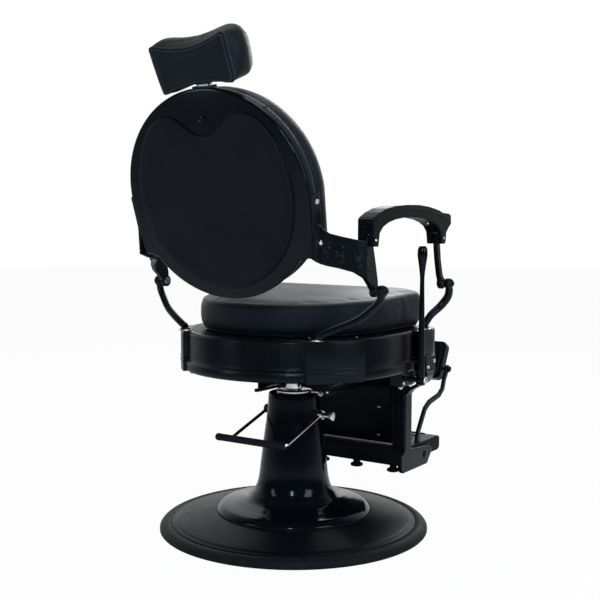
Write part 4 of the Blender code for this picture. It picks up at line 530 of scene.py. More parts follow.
# =================================================================== fasteners
def dome_bolt(name, centre, direction, radius, height, body, finish=CHROME):
    """Round-headed bolt with a shallow socket, seated on a face."""
    profile = [
        (0.0, -0.0004), (radius, -0.0004), (radius, height * 0.35), (radius * 0.90, height * 0.68),
        (radius * 0.66, height * 0.92), (radius * 0.36, height), (radius * 0.30, height * 0.72),
        (0.0, height * 0.72),
    ]
    piece = spun(profile, 24)
    stand(piece, centre, direction)
    return give(piece, name, body, finish)


def hex_nut(name, centre, direction, radius, height, body, finish=CHROME):
    """Hexagon nut with chamfered corners and the bolt's end standing out of it."""
    bpy.ops.mesh.primitive_cylinder_add(vertices=6, radius=radius, depth=height)
    nut = bpy.context.object
    nut.location = (0.0, 0.0, height / 2 - 0.0003)
    settle(nut)
    modify(nut, "BEVEL", width=radius * 0.10, segments=2)
    stub = spun([(0.0, 0.0), (radius * 0.5, 0.0), (radius * 0.5, height * 1.35),
                 (radius * 0.38, height * 1.5), (0.0, height * 1.5)], 16)
    piece = joined([stub, nut])
    stand(piece, centre, direction)
    return give(piece, name, body, finish)


def faces_of(mesh):
    """Search tree over a mesh's faces."""
    points = [point.co for point in mesh.vertices]
    return BVHTree.FromPolygons(points, [face.vertices for face in mesh.polygons])


def on_surface(node, start, direction):
    """Where a line from outside first meets a CAD node, and the face's direction there."""
    tree = faces_of(frame["nodes"][node].data)
    place, normal, _, _ = tree.ray_cast(Vector(start), Vector(direction))
    if place is None:
        raise ValueError("the line misses " + node)
    return place, normal


# ===================================================== turned base and column
SHAFT_HEIGHT = 0.294      # the pump shaft's axis
PEDAL_HALF_WIDTH = 0.081
PEDAL_REACH = 0.158       # from the shaft back to the grip bar
PEDAL_DROP = 0.051


def make_base():
    """Rubber rim and the pressed dome with its pad under the pump."""
    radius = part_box("base_rim")[1].x
    rim = [
        (0.3113, 0.0), (radius - 0.0015, 0.0), (radius, 0.0016), (radius, 0.0078),
        (radius - 0.0012, 0.0104), (radius - 0.0042, 0.0140), (radius - 0.0090, 0.0178),
        (radius - 0.0140, 0.0202), (radius - 0.0195, 0.0210), (0.3175, 0.0208), (0.3150, 0.0196),
        (0.3138, 0.0203), (0.3113, 0.0190), (0.3113, 0.0),
    ]
    give(spun(rim, 128), "base_rim_turned", "chair_base", RUBBER, ("base_rim",))
    dome = [
        (0.0, 0.0), (0.032, 0.0), (0.032, 0.0357), (0.195, 0.0357), (0.302, 0.0120),
        (0.302, 0.0030), (0.3110, 0.0030),
        (0.3110, 0.0188), (0.3085, 0.0212), (0.3040, 0.0222), (0.3000, 0.0224), (0.2980, 0.0243),
        (0.2900, 0.0262), (0.2700, 0.0308), (0.2500, 0.0350), (0.2300, 0.0391), (0.2150, 0.0422),
        (0.2060, 0.0440), (0.2010, 0.0447), (0.1960, 0.0447), (0.0, 0.0447),
    ]
    give(spun(dome, 128), "base_dome", "chair_base", SATIN, ("base_plate",), 50.0)


def make_column():
    """Column with its flange, flared foot and the small collar at its top."""
    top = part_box("column")[1].z
    flare = [
        (0.1440, 0.0680), (0.1200, 0.0750), (0.1080, 0.0880), (0.0957, 0.1050), (0.0887, 0.1300),
        (0.0836, 0.1720), (0.0758, 0.2340), (0.0676, 0.2967), (0.0646, top - 0.0050),
    ]
    route = flowing([(radius, 0.0, height) for radius, height in flare], 5)
    outside = [(0.1950, 0.0450), (0.1950, 0.0492), (0.1938, 0.0512), (0.1880, 0.0570), (0.1840, 0.0606),
               (0.1790, 0.0622), (0.1560, 0.0652)]
    outside += [(point.x, point.z) for point in route]
    outside += [(0.0638, top - 0.0018), (0.0620, top)]
    inside = [(0.0280, top), (0.0280, top - 0.008), (0.0562, top - 0.008), (0.0807, 0.121), (0.100, 0.0450)]
    piece = spun(outside + inside + [outside[0]], 112)
    give(piece, "column_turned", "chair_base", GLOSS, ("column",), 50.0)
    for side, sign in SIDES:
        place, _ = on_surface("column", (sign * 0.2, 0.0, SHAFT_HEIGHT + 0.010), (-sign, 0, 0))
        bush = spun([(0.0076, -0.004), (0.0125, -0.004), (0.0125, 0.0014), (0.0112, 0.0024),
                     (0.0076, 0.0024), (0.0076, -0.004)], 32)
        stand(bush, (place.x, 0.0, SHAFT_HEIGHT), (sign, 0, 0))
        give(bush, "shaft_bush_" + side, "chair_base", GLOSS)


def make_ram():
    """Gland ring, swivel hub and ram."""
    low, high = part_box("gland_ring")
    ring = [
        (0.0219, low.z), (0.0450, low.z), (0.0450, high.z - 0.0024), (0.0440, high.z - 0.0010),
        (0.0425, high.z), (0.0290, high.z), (0.0282, high.z - 0.0012), (0.0262, high.z - 0.0012),
        (0.0256, high.z), (0.0219, high.z), (0.0219, low.z),
    ]
    give(spun(ring, 64), "gland_ring_turned", "chair_base", CHROME, ("gland_ring",))
    hub_low, hub_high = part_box("swivel_hub")
    wide = hub_high.x
    bore = 0.0179
    roof = hub_low.z + 0.0163
    hub = [
        (0.0, roof), (bore, roof), (bore, hub_low.z), (wide - 0.010, hub_low.z),
        (wide - 0.006, hub_low.z + 0.0012), (wide - 0.0015, hub_low.z + 0.0060),
        (wide, hub_low.z + 0.0095), (wide, hub_high.z - 0.0012), (wide - 0.0012, hub_high.z),
        (0.0, hub_high.z),
    ]
    give(spun(hub, 64), "swivel_hub_turned", "seat", GLOSS, ("swivel_hub",))
    plain(CHROME, "ram")


def make_pedal():
    """Round pedal rods with flattened eyes, and the grip sleeve with moulded ends."""
    for side, sign in SIDES:
        axis = Vector((sign * PEDAL_HALF_WIDTH, 0.0, SHAFT_HEIGHT))
        start = axis + Vector((0.0, 0.0095, -0.003))
        goal = axis + Vector((0.0, PEDAL_REACH, -PEDAL_DROP))
        ahead = (goal - start).normalized()
        turn = goal - ahead * 0.017
        inward = goal - Vector((sign * 0.017, 0, 0))
        bend = [turn + (goal - turn) * (1 - (1 - t) ** 2) * 0.72 + (inward - goal) * t ** 2 * 0.75
                for t in (0.0, 0.25, 0.5, 0.75, 1.0)]
        route = [start] + bend + [Vector((0.0, goal.y - 0.0010, goal.z))]
        rod = tube(flowing(route, 5), 0.0042, sides=16)
        eye = spun([(0.0074, -0.007), (0.0098, -0.007), (0.0114, -0.0052), (0.0115, 0.0052),
                    (0.0098, 0.007), (0.0074, 0.007), (0.0074, -0.007)], 32)
        stand(eye, axis, (1, 0, 0))
        piece = joined([rod, eye])
        # The left rod is chrome like the right one; its dark plate is a painted reflection of the dark
        # surroundings it mirrors.
        finish = CHROME if side == "right" else SHADED_CHROME
        stands_for = ("pedal_rod",) if side == "right" else ()
        give(piece, "pedal_arm_" + side, "pump_pedal", finish, stands_for, 45.0)
    low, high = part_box("pedal_grip")
    length = high.x - low.x
    wide = (high.y - low.y) / 2
    grip = [(0.0, 0.0), (wide * 0.55, 0.0), (wide * 0.86, 0.0012), (wide, 0.0046)]
    grip += [(wide, 0.012), (wide * 0.95, 0.0135), (wide * 0.95, length - 0.0135), (wide, length - 0.012)]
    grip += [(wide, length - 0.0050), (wide * 0.85, length - 0.0014), (wide * 0.5, length), (0.0, length)]
    sleeve = spun(grip, 40)
    stand(sleeve, (low.x, (low.y + high.y) / 2, (low.z + high.z) / 2), (1, 0, 0))
    give(sleeve, "pedal_grip_sleeve", "pump_pedal", RUBBER, ("pedal_grip",))
    button = [(0.0, 0.0), (0.0058, 0.0), (0.0062, 0.0040), (0.0106, 0.0080), (0.0116, 0.0100),
              (0.0116, 0.0118), (0.0104, 0.0132), (0.0060, 0.0140), (0.0, 0.0142)]
    cap = spun(button, 40)
    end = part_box("pump_shaft")[0].x
    stand(cap, (end + 0.0135, 0.0, SHAFT_HEIGHT), (-1, 0, 0))
    give(cap, "shaft_end_button", "pump_pedal", CHROME)
    plain(CHROME, "pump_shaft", "pump_plunger")


# ========================================================================= seat
def seat_plan(radius, front, corner, middle, inset, count=18):
    """Plan of the seat: round at the back, straight sides, round corners in front."""
    reach = radius - inset
    right = []
    for k in range(count + 1):
        angle = math.pi / 2 * (1 - k / count)
        right.append((reach * math.cos(angle), middle + reach * math.sin(angle)))
    turn_y = front + corner
    for k in range(1, 8):
        right.append((reach, middle + (turn_y - middle) * k / 8))
    for k in range(9):
        angle = -math.pi / 2 * k / 8
        right.append((radius - corner + (corner - inset) * math.cos(angle),
                      turn_y + (corner - inset) * math.sin(angle)))
    for k in range(1, 7):
        right.append(((radius - corner) * (1 - k / 6), front + inset))
    return right + [(-x, y) for x, y in right[1:-1][::-1]]


SEAT = dict(radius=0.252, front=-0.258, corner=0.060, middle=-0.021)
SEAT_SLOPE = 0.034        # rise of the cushion's top for each metre forward
SEAT_HEIGHT = 0.088
SEAT_EDGE = 0.020         # radius of the cushion's upper edge
SEAT_WAIST = 0.0034       # inset of the cushion's upright sides


def seat_level(x, y, z, low, height):
    """Height of a cushion point, tipped up towards the front the nearer it is to the top."""
    return z - (y - SEAT["middle"]) * SEAT_SLOPE * (z - low) / height


def seat_ring_at(inset, z, low, height, shrink=1.0):
    """One outline of the seat cushion."""
    ring = []
    for x, y in seat_plan(inset=inset, **SEAT):
        y = SEAT["middle"] + (y - SEAT["middle"]) * shrink
        ring.append((x * shrink, y, seat_level(x, y, z, low, height)))
    return ring


def make_seat_cushion():
    """Seat cushion with a crowned top, a seam round its upper edge and a welt at its foot."""
    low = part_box("seat_cushion")[0].z
    height, edge = SEAT_HEIGHT, SEAT_EDGE
    steps = [(0.020, 0.0), (0.0155, 0.0030), (0.0090, 0.0105), (0.0050, 0.0200), (SEAT_WAIST, 0.034),
             (SEAT_WAIST, 0.050)]
    rings = [seat_ring_at(inset, low + z, low, height) for inset, z in steps]
    for k in range(7):
        angle = math.pi / 2 * 0.9 * k / 6
        inset = SEAT_WAIST + edge * (1 - math.cos(angle))
        rise = low + height - edge - 0.003 + edge * math.sin(angle)
        rings.append(seat_ring_at(inset, rise, low, height))
    for share in (0.80, 0.65, 0.5, 0.35, 0.2, 0.08):
        crown = low + height - 0.004 + 0.008 * (1 - share ** 2)
        rings.append(seat_ring_at(0.004, crown, low, height, share))
    piece = skin(rings)
    plump(piece, 0.0055, 0.005)
    give(piece, "seat_cushion_pad", "seat", LEATHER, ("seat_cushion",), 60.0)
    for name, inset, z, sink, radius in (("seam", 0.0078, low + height - 0.0075, 0.0004, 0.0012),
                                         ("foot_welt", 0.0150, low + 0.0036, 0.0008, 0.0024)):
        line = [Vector(point) for point in seat_ring_at(inset, z, low, height)]
        line = lying_on(piece, line, -sink)
        give(tube(line, radius, closed=True), "seat_cushion_" + name, "seat", LEATHER)


RING = dict(radius=0.277, front=-0.250, corner=0.056, middle=-0.008)
RING_FOOT = 0.410
RING_BAND = 0.026         # height of the ring's lower band
RING_SKIN = 0.0012        # how far the smooth ring lies outside the CAD ring
RING_STUDS = ((0.142, 0.153), (0.216, 0.077), (0.191, -0.235))
STUD_SPREAD = 1.07        # moves the studs out over the middle of the ring's top
PANEL_PROUD = 0.0128      # how far the corner panels stand out of the ring
REAR_PANEL = (38.5, 67.5)      # degrees from straight back
FRONT_PANEL_Y = -0.118    # rear edge of the panel round a front corner
FRONT_PANEL_END = 0.020   # how far that panel runs on past the corner in front
SHADE_STRIP_ANGLE = math.radians(38.0)    # from straight back to the rear panel's edge


def ring_line(z):
    """A line round the ring's outside at one height, over its raised corners too."""
    tree = faces_of(frame["nodes"]["seat_ring"].data)
    far = seat_plan(inset=-0.060, count=60, **RING)
    near = seat_plan(inset=0.0, count=60, **RING)
    route = []
    for (x, y), (u, v) in zip(far, near):
        reach = Vector((x - u, y - v, 0.0))
        place = tree.ray_cast(Vector((x, y, z)), -reach)[0]
        if place is None or (place - Vector((u, v, z))).length > 0.03:
            place = Vector((u, v, z))
        route.append(place + reach.normalized() * (RING_SKIN - 0.0003))
    return route


def moulding(route, profile, closed):
    """Shaped bar that follows a level route; the profile is in steps outwards and heights."""
    corners = [(-outward, height, 0.0) for outward, height in profile]
    section = linked("profile", poly_curve(corners, True, "2D"))
    curve = poly_curve(route, closed)
    curve.twist_mode = "Z_UP"
    curve.bevel_mode = "OBJECT"
    curve.bevel_object = section
    piece = as_mesh(curve, closed)
    bpy.data.objects.remove(section)
    edit(piece)
    bpy.ops.mesh.normals_make_consistent(inside=False)
    rest()
    modify(piece, "BEVEL", width=0.0010, segments=2, limit_method="ANGLE",
           angle_limit=math.radians(35.0))
    return piece


def rear_corner(sign):
    """Route of the raised panel under a rear leg."""
    route = []
    begin, end = REAR_PANEL
    for k in range(21):
        angle = math.radians(begin + (end - begin) * k / 20)
        x = sign * RING["radius"] * math.sin(angle)
        route.append(Vector((x, RING["middle"] + RING["radius"] * math.cos(angle), 0.0)))
    return route if sign > 0 else route[::-1]


def front_corner(sign):
    """Route of the raised panel that wraps a front corner."""
    reach, corner = RING["radius"], RING["corner"]
    middle = Vector((reach - corner, RING["front"] + corner, 0.0))
    side = middle.y - FRONT_PANEL_Y
    route = [Vector((reach, FRONT_PANEL_Y + side * k / 6, 0.0)) for k in range(6)]
    for k in range(17):
        angle = -math.pi / 2 * k / 16
        route.append(middle + Vector((corner * math.cos(angle), corner * math.sin(angle), 0.0)))
    route.append(Vector((middle.x - FRONT_PANEL_END, RING["front"], 0.0)))
    route = [Vector((sign * point.x, point.y, 0.0)) for point in route]
    return route if sign > 0 else route[::-1]


def make_ring():
    """Enamelled ring with raised corner panels, two fine beads and studs on its top."""
    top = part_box("seat_ring")[1].z
    band = RING_FOOT + RING_BAND
    profile = [(-0.015, RING_FOOT), (0.0030, RING_FOOT), (0.0070, RING_FOOT + 0.0040),
               (0.0070, band - 0.0040), (0.0045, band), (RING_SKIN, band + 0.0030),
               (RING_SKIN, top - 0.0050), (-0.0040, top + 0.0006), (-0.015, top + 0.0006)]
    round_ring = [Vector((x, y, 0.0)) for x, y in seat_plan(inset=0.0, count=44, **RING)]
    panel = [(-0.0060, RING_FOOT - 0.0006), (PANEL_PROUD, RING_FOOT - 0.0006),
             (PANEL_PROUD, top - 0.0030), (PANEL_PROUD - 0.0038, top + 0.0008), (-0.0060, top + 0.0008)]
    parts = [copy_of("seat_ring"), moulding(round_ring, profile, True)]
    for _, sign in SIDES:
        parts.append(moulding(rear_corner(sign), panel, False))
        parts.append(moulding(front_corner(sign), panel, False))
    ring = joined(parts[::-1])
    give(ring, "seat_ring_moulding", "seat", RING_GLOSS, ("seat_ring",), 30.0)
    for name, z, radius in (("lower", band - 0.0030, 0.0017), ("upper", band + 0.0070, 0.0014)):
        bead = tube(ring_line(z), radius, closed=True)
        give(bead, "ring_bead_" + name, "seat", RING_GLOSS)
    make_ring_shade_strips()
    for number, (x, y) in enumerate(RING_STUDS):
        for side, sign in SIDES:
            name = "ring_stud_%s_%d" % (side, number + 1)
            place = (sign * x * STUD_SPREAD, y * STUD_SPREAD, top)
            dome_bolt(name, place, (0, 0, 1), 0.0032, 0.0022, "seat")
    plain(SATIN, "seat_pan")
    trimmed("seat_frame", SATIN, 0.0010)


def make_ring_shade_strips():
    """Dark matt strip down the ring beside each rear corner, over both beads: a painted shade along the
    edge of the rear panel.
    """
    tree = faces_of(frame["nodes"]["seat_ring"].data)
    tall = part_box("seat_ring")[1].z - RING_FOOT
    for side, sign in SIDES:
        outward = Vector((sign * math.sin(SHADE_STRIP_ANGLE), math.cos(SHADE_STRIP_ANGLE), 0.0))
        route = []
        for k in range(25):
            z = RING_FOOT + 0.0020 + (tall - 0.0080) * k / 24
            place = tree.ray_cast(Vector((0, RING["middle"], z)) + outward * 0.36, -outward)[0]
            route.append(place + outward * (RING_SKIN - 0.0012))
        give(tube(route, 0.0030, sides=12), "ring_shade_strip_" + side, "seat", RUBBER)


RAIL_FACE_X = -0.1032
RAIL_BOLT_HEIGHT = 0.3555
HOUSING_MIDDLE_X = -0.255
HOUSING_FACE_X = -0.263
HOUSING_BOLTS_Y = (-0.094, -0.146)
LEVER_AXIS_Y = -0.112
LEVER_AXIS_HEIGHT = 0.388


def make_under_seat():
    """Rails, recline housing and swivel lock lever with their bolts."""
    for side, _ in SIDES:
        trimmed("seat_rail_" + side, SATIN, 0.0006)
    nut_place = (RAIL_FACE_X, 0.040, RAIL_BOLT_HEIGHT)
    hex_nut("rail_nut", nut_place, (-1, 0, 0), 0.0070, 0.0056, "seat", STEEL)
    dome_bolt("rail_bolt", (RAIL_FACE_X, 0.0075, RAIL_BOLT_HEIGHT), (-1, 0, 0), 0.0048, 0.0034, "seat")
    cast("recline_housing", GLOSS_CAST, 0.0014, 4)
    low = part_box("recline_housing")[0]
    for number, y in enumerate(HOUSING_BOLTS_Y):
        start = (HOUSING_FACE_X - 0.05, y, low.z + 0.009)
        place, normal = on_surface("recline_housing", start, (1, 0, 0))
        dome_bolt("housing_bolt_%d" % (number + 1), place, normal, 0.0046, 0.0034, "seat")
        start = (HOUSING_MIDDLE_X, y, low.z - 0.05)
        place, normal = on_surface("recline_housing", start, (0, 0, 1))
        hex_nut("housing_nut_%d" % (number + 1), place, normal, 0.0058, 0.0050, "seat")
    pivot = (low.x + 0.0004, LEVER_AXIS_Y, LEVER_AXIS_HEIGHT)
    dome_bolt("lever_pivot_bolt", pivot, (-1, 0, 0), 0.0085, 0.0038, "seat")
    lock_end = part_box("swivel_lock_lever")[1]
    cast("swivel_lock_lever", GLOSS_CAST, 0.0010, 4, lock_loop(lock_end))


def lock_loop(high):
    """Raised loop round the flat end of the swivel lock lever."""
    loop = spun([(0.0042, 0.0), (0.0062, -0.0012), (0.0082, 0.0), (0.0062, 0.0014), (0.0042, 0.0)], 32)
    stand(loop, (0.0, high.y - 0.0095, high.z), (0, 0, 1))
    return (loop,)


# ======================================================= legs, posts and pivots
LEG_ENDS = (("rear", 0.1935, 0.194, 0.136), ("front", 0.2785, -0.172, -0.204))
PIVOT_CAP_X = 0.3412
PIVOT_HEIGHT = 0.623


def make_legs():
    """Legs with a washer under each foot and a cap over each pivot, and the front posts."""
    for side, sign in SIDES:
        for end, foot_x, foot_y, pivot_y in LEG_ENDS:
            node = "leg_%s_%s" % (end, side)
            cast(node, GLOSS_CAST, 0.0011, 3)
            pivot = (sign * PIVOT_CAP_X, pivot_y, PIVOT_HEIGHT)
            dome_bolt("pivot_cap_%s_%s" % (end, side), pivot, (sign, 0, 0), 0.0060, 0.0014,
                      "seat", GLOSS)
            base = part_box(node)[0].z
            rim = spun([(0.0125, 0.0), (0.0165, 0.0), (0.0165, 0.0012), (0.0150, 0.0026),
                        (0.0125, 0.0030), (0.0125, 0.0)], 32)
            stand(rim, (sign * foot_x, foot_y, base + 0.0001), (0, 0, 1))
            give(rim, "leg_washer_%s_%s" % (end, side), "seat", CHROME)
            plain(STEEL, "pivot_pin_%s_%s" % (end, side))
        cast("front_post_" + side, GLOSS_CAST, 0.0010, 3)


ARM_PIN_HEIGHT = 0.737
ARM_PINS = (("rear", 0.166), ("front", -0.174))
ARM_RIDGES = (             # rise over the pin, radius and depth in the rear end
    (0.0425, 0.0052, 0.0022), (0.0305, 0.0048, 0.0045), (0.0235, 0.0048, 0.0055),
    (0.0168, 0.0042, 0.0048),
)


def make_armrests():
    """Armrests with a soft cap on top, chrome pins and a screw under the arch."""
    for side, sign in SIDES:
        body = "armrest_" + side
        low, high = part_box(body)
        middle = (low.x + high.x) / 2
        cast(body, SATIN, 0.0012, 6, arm_details(body, middle, low, high))
        for end, y in ARM_PINS:
            for face, way in (("outer", sign), ("inner", -sign)):
                place, _ = on_surface(body, (middle + way * 0.05, y, ARM_PIN_HEIGHT), (-way, 0, 0))
                name = "arm_pin_%s_%s_%s" % (end, face, side)
                dome_bolt(name, place, (way, 0, 0), 0.0034, 0.0016, body)
        place, normal = on_surface(body, (middle, -0.115, 0.74), (0, -0.25, 1))
        dome_bolt("arm_screw_" + side, place, normal, 0.0040, 0.0018, body)


def arm_details(node, middle, low, high):
    """Raised line along both long edges of an armrest, and ridges across its rear end."""
    strips = []
    for way in (1.0, -1.0):
        route = []
        for k in range(25):
            y = high.y - 0.012 - (high.y - low.y - 0.024) * k / 24
            top, _ = on_surface(node, (middle, y, high.z + 0.05), (0, 0, -1))
            route.append(Vector((middle + way * (high.x - low.x) / 2, y, top.z - 0.010)))
        strips.append(tube(flowing(route, 2), 0.0014, sides=8))
    inner, outer = low.x + 0.0030, high.x - 0.0030
    for rise, radius, depth in ARM_RIDGES:
        z = ARM_PIN_HEIGHT + rise
        y = high.y - depth
        strips.append(tube([Vector((inner, y, z)), Vector((outer, y, z))], radius))
    return strips


def scroll(centre, normal, radius, start, sweep, thick):
    """Part of a raised ring lying on a surface, for scroll work."""
    bpy.ops.mesh.primitive_circle_add(vertices=8, radius=thick, fill_type="NGON",
                                      location=(radius, 0, 0), rotation=(math.pi / 2, 0, 0))
    piece = bpy.context.object
    settle(piece)
    edit(piece)
    steps = max(int(abs(sweep) / 15), 4)
    bpy.ops.mesh.spin(steps=steps, angle=math.radians(sweep), center=(0, 0, 0), axis=(0, 0, 1))
    bpy.ops.mesh.select_all(action="SELECT")
    bpy.ops.mesh.normals_make_consistent(inside=False)
    rest()
    turn = Vector(normal).to_track_quat("Z", "Y").to_matrix().to_4x4()
    piece.matrix_world = Matrix.Translation(centre) @ turn @ Matrix.Rotation(math.radians(start), 4, "Z")
    settle(piece)
    return piece


BRACKET_SCROLLS = (        # y, z, radius, start and sweep
    (0.252, 0.728, 0.0125, 20, 250), (0.252, 0.704, 0.0105, 200, 240),
    (0.224, 0.716, 0.0095, 60, 230), (0.224, 0.697, 0.0085, 150, 260),
    (0.199, 0.706, 0.0085, 30, 250), (0.199, 0.686, 0.0080, 190, 250),
    (0.176, 0.692, 0.0070, 0, 300), (0.172, 0.668, 0.0065, 90, 260),
)


def make_brackets():
    """Rear brackets with plain scroll work cast on their outer faces."""
    for side, sign in SIDES:
        node = "back_bracket_" + side
        extras = []
        for y, z, radius, start, sweep in BRACKET_SCROLLS:
            place, normal = on_surface(node, (sign * 0.45, y, z), (-sign, 0, 0))
            extras.append(scroll(place, normal, radius, start, sweep, 0.0016))
        cast(node, GLOSS_CAST, 0.0008, 2, extras)
        for height in ("upper", "lower"):
            bolt = "bracket_bolt_%s_%s" % (height, side)
            low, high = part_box(bolt)
            inner = high.x if sign < 0 else low.x
            centre = (inner, (low.y + high.y) / 2, (low.z + high.z) / 2)
            piece = dome_bolt(bolt + "_head", centre, (sign, 0, 0), (high.y - low.y) / 2, 0.0048, "back")
            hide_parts(bolt)


def make_recline_lever():
    """Lever that swells into a long grip, with the eye it turns on."""
    low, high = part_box("recline_lever")
    x = (low.x + high.x) / 2
    y = (low.y + high.y) / 2
    foot, top = LEVER_AXIS_HEIGHT, high.z
    marks = [(0.0088, 0.0), (0.0086, 0.020), (0.0074, 0.120), (0.0066, top - foot - 0.150),
             (0.0056, top - foot - 0.100), (0.0058, top - foot - 0.075), (0.0086, top - foot - 0.050),
             (0.0120, top - foot - 0.028), (0.0125, top - foot - 0.018), (0.0112, top - foot - 0.007),
             (0.0070, top - foot - 0.0015), (0.0, top - foot)]
    route = flowing([(radius, 0.0, height) for radius, height in marks], 4)
    profile = [(0.0, 0.0)] + [(max(point.x, 0.0), point.z) for point in route]
    rod = spun(profile, 32)
    stand(rod, (x, y, foot), (0, 0, 1))
    eye = spun([(0.0070, -0.009), (0.0122, -0.009), (0.0135, -0.007), (0.0135, 0.007), (0.0122, 0.009),
                (0.0070, 0.009), (0.0070, -0.009)], 40)
    stand(eye, (x, y, foot), (1, 0, 0))
    piece = joined([rod, eye])
    give(piece, "recline_lever_rod", "recline_handle", GLOSS, ("recline_lever",), 45.0)


# ===================================================================== backrest
def back_point(u, v, depth):
    """A place on the backrest: across, up its slope, and forward of the shell's back face."""
    y = BACK_MIDDLE.y + v * math.sin(LEAN) - depth * math.cos(LEAN)
    z = BACK_MIDDLE.z + v * math.cos(LEAN) + depth * math.sin(LEAN)
    return Vector((u, y, z))


def back_plan(inset, depth, arcs=26):
    """Outline of the backrest: an ellipse above, shoulders down to the brackets, an arc below."""
    wide = BACK_HALF_WIDTH - inset
    tall = BACK_HALF_HEIGHT - inset
    ear_low = -(EAR_DROP - inset)
    lift = min(max(depth - SHELL_THICKNESS, 0.0), UNDERCUT_DEPTH) * UNDERCUT_SLOPE
    floor = -BACK_HALF_HEIGHT + lift
    right = []
    for k in range(arcs + 1):
        angle = math.radians(90 - 90 * k / arcs)
        right.append((wide * math.cos(angle), tall * math.sin(angle)))
    for share in (0.2, 0.4, 0.6, 0.8, 0.92):
        right.append((wide - EAR_INSET * share, ear_low * share))
    right.append((wide - EAR_INSET - 0.001, ear_low + 0.004))
    right.append((wide - EAR_INSET - 0.006, ear_low))
    start = math.degrees(math.asin(ear_low / tall))
    right.append((wide * math.sqrt(1 - (ear_low / tall) ** 2) + 0.010, ear_low))
    for k in range(1, arcs):
        angle = math.radians(start + (-90 - start) * k / arcs)
        right.append((wide * math.cos(angle), max(tall * math.sin(angle), floor)))
    return right + [(0.0, max(-tall, floor))] + [(-u, v) for u, v in right[1:][::-1]]


def back_row(inset, depth, shrink=1.0):
    """One outline of a layer of the backrest."""
    return [back_point(u * shrink, v * shrink, depth) for u, v in back_plan(inset, depth)]


def make_back_shell():
    """Moulded shell with a rolled rim and the plain round boss."""
    thick = SHELL_THICKNESS
    steps = [(0.0060, 0.0), (0.0030, 0.0006), (0.0010, 0.0022), (0.0002, 0.0042), (0.0, 0.0070),
             (0.0, thick - 0.0016), (0.0008, thick - 0.0004), (0.0020, thick)]
    piece = skin([back_row(inset, depth) for inset, depth in steps])
    give(piece, "back_shell_moulding", "back", GLOSS, ("back_shell",), 30.0)
    place = back_point(0.0, BOSS_HEIGHT, 0.0)
    outward = back_point(0, 0, -1) - back_point(0, 0, 0)
    boss = spun([(0.0, -0.001), (0.0105, -0.001), (0.0105, 0.0012), (0.0098, 0.0020), (0.0088, 0.0012),
                 (0.0080, 0.0012), (0.0074, 0.0026), (0.0050, 0.0034), (0.0, 0.0036)], 40)
    stand(boss, place, outward)
    give(boss, "back_boss", "back", GLOSS)


BAND_SEAMS = (52.0, 128.0)     # degrees round the backrest, from its left side


def make_back_band():
    """Upholstered band round the backrest's edge, with short cross seams."""
    start = SHELL_THICKNESS + 0.0003
    end = start + BAND_THICKNESS
    steps = [(0.0068, 0.0), (0.0046, 0.0012), (0.0034, 0.0050), (0.0028, 0.0130), (0.0034, 0.0215),
             (0.0050, 0.0250), (0.0072, BAND_THICKNESS)]
    piece = skin([back_row(inset, start + depth) for inset, depth in steps])
    give(piece, "back_band", "back", LEATHER, ("back_frame",), 60.0)
    for number, angle in enumerate(BAND_SEAMS):
        turn = math.radians(angle)
        route = []
        for k in range(9):
            depth = start + 0.001 + (end - start - 0.002) * k / 8
            swell = 0.0030 - 0.0008 * math.sin(math.pi * k / 8)
            wide = BACK_HALF_WIDTH - swell
            tall = BACK_HALF_HEIGHT - swell
            route.append(back_point(wide * math.cos(turn), tall * math.sin(turn), depth))
        give(tube(route, 0.0010), "back_band_seam_%d" % (number + 1), "back", LEATHER)


def make_back_cushion():
    """Front cushion of the backrest: crowned face, drawn-in sides and a welt on both edges."""
    start = SHELL_THICKNESS + BAND_THICKNESS + 0.0006
    thick = CUSHION_THICKNESS
    steps = [(0.012, 0.0), (0.0080, 0.0015), (0.0052, 0.006), (0.0038, 0.014), (0.0036, 0.024),
             (0.0050, 0.034), (0.0090, 0.0415), (0.0160, 0.0465), (0.0270, 0.0495)]
    rings = [back_row(inset, start + depth) for inset, depth in steps]
    for share in (0.88, 0.75, 0.6, 0.45, 0.3, 0.15, 0.05):
        rings.append(back_row(0.024, start + thick + 0.004 + 0.005 * (1 - share ** 2), share))
    piece = skin(rings)
    plump(piece, 0.0055, 0.004)
    give(piece, "back_cushion_pad", "back", LEATHER, ("back_cushion",), 60.0)
    for name, inset, depth in (("rear", 0.0058, 0.0052), ("front", 0.0098, 0.0425)):
        welt = tube(lying_on(piece, back_row(inset, start + depth), -0.0006), 0.0019, closed=True)
        give(welt, "back_cushion_welt_" + name, "back", LEATHER)


def panel_plan(inset):
    """Raised back panel: round, with two lobes above and a dip between them round the boss."""
    wide = PANEL_HALF_WIDTH - inset
    tall = PANEL_HALF_HEIGHT - inset
    lobe = PANEL_LOBE_HEIGHT - inset
    dip = PANEL_DIP_HEIGHT - inset
    right = []
    steps = 18
    for k in range(steps):
        mix = ((1 - math.cos(math.pi * k / steps)) / 2) ** 1.3
        right.append((PANEL_LOBE_X * k / steps, dip + (lobe - dip) * mix))
    for k in range(44):
        angle = math.radians(90 - 180 * k / 44)
        if angle >= 0:
            reach = PANEL_LOBE_X + (wide - PANEL_LOBE_X) * math.cos(angle)
            right.append((reach, lobe * math.sin(angle)))
        else:
            right.append((wide * math.cos(angle), tall * math.sin(angle)))
    return right + [(0.0, -tall)] + [(-u, v) for u, v in right[1:][::-1]]


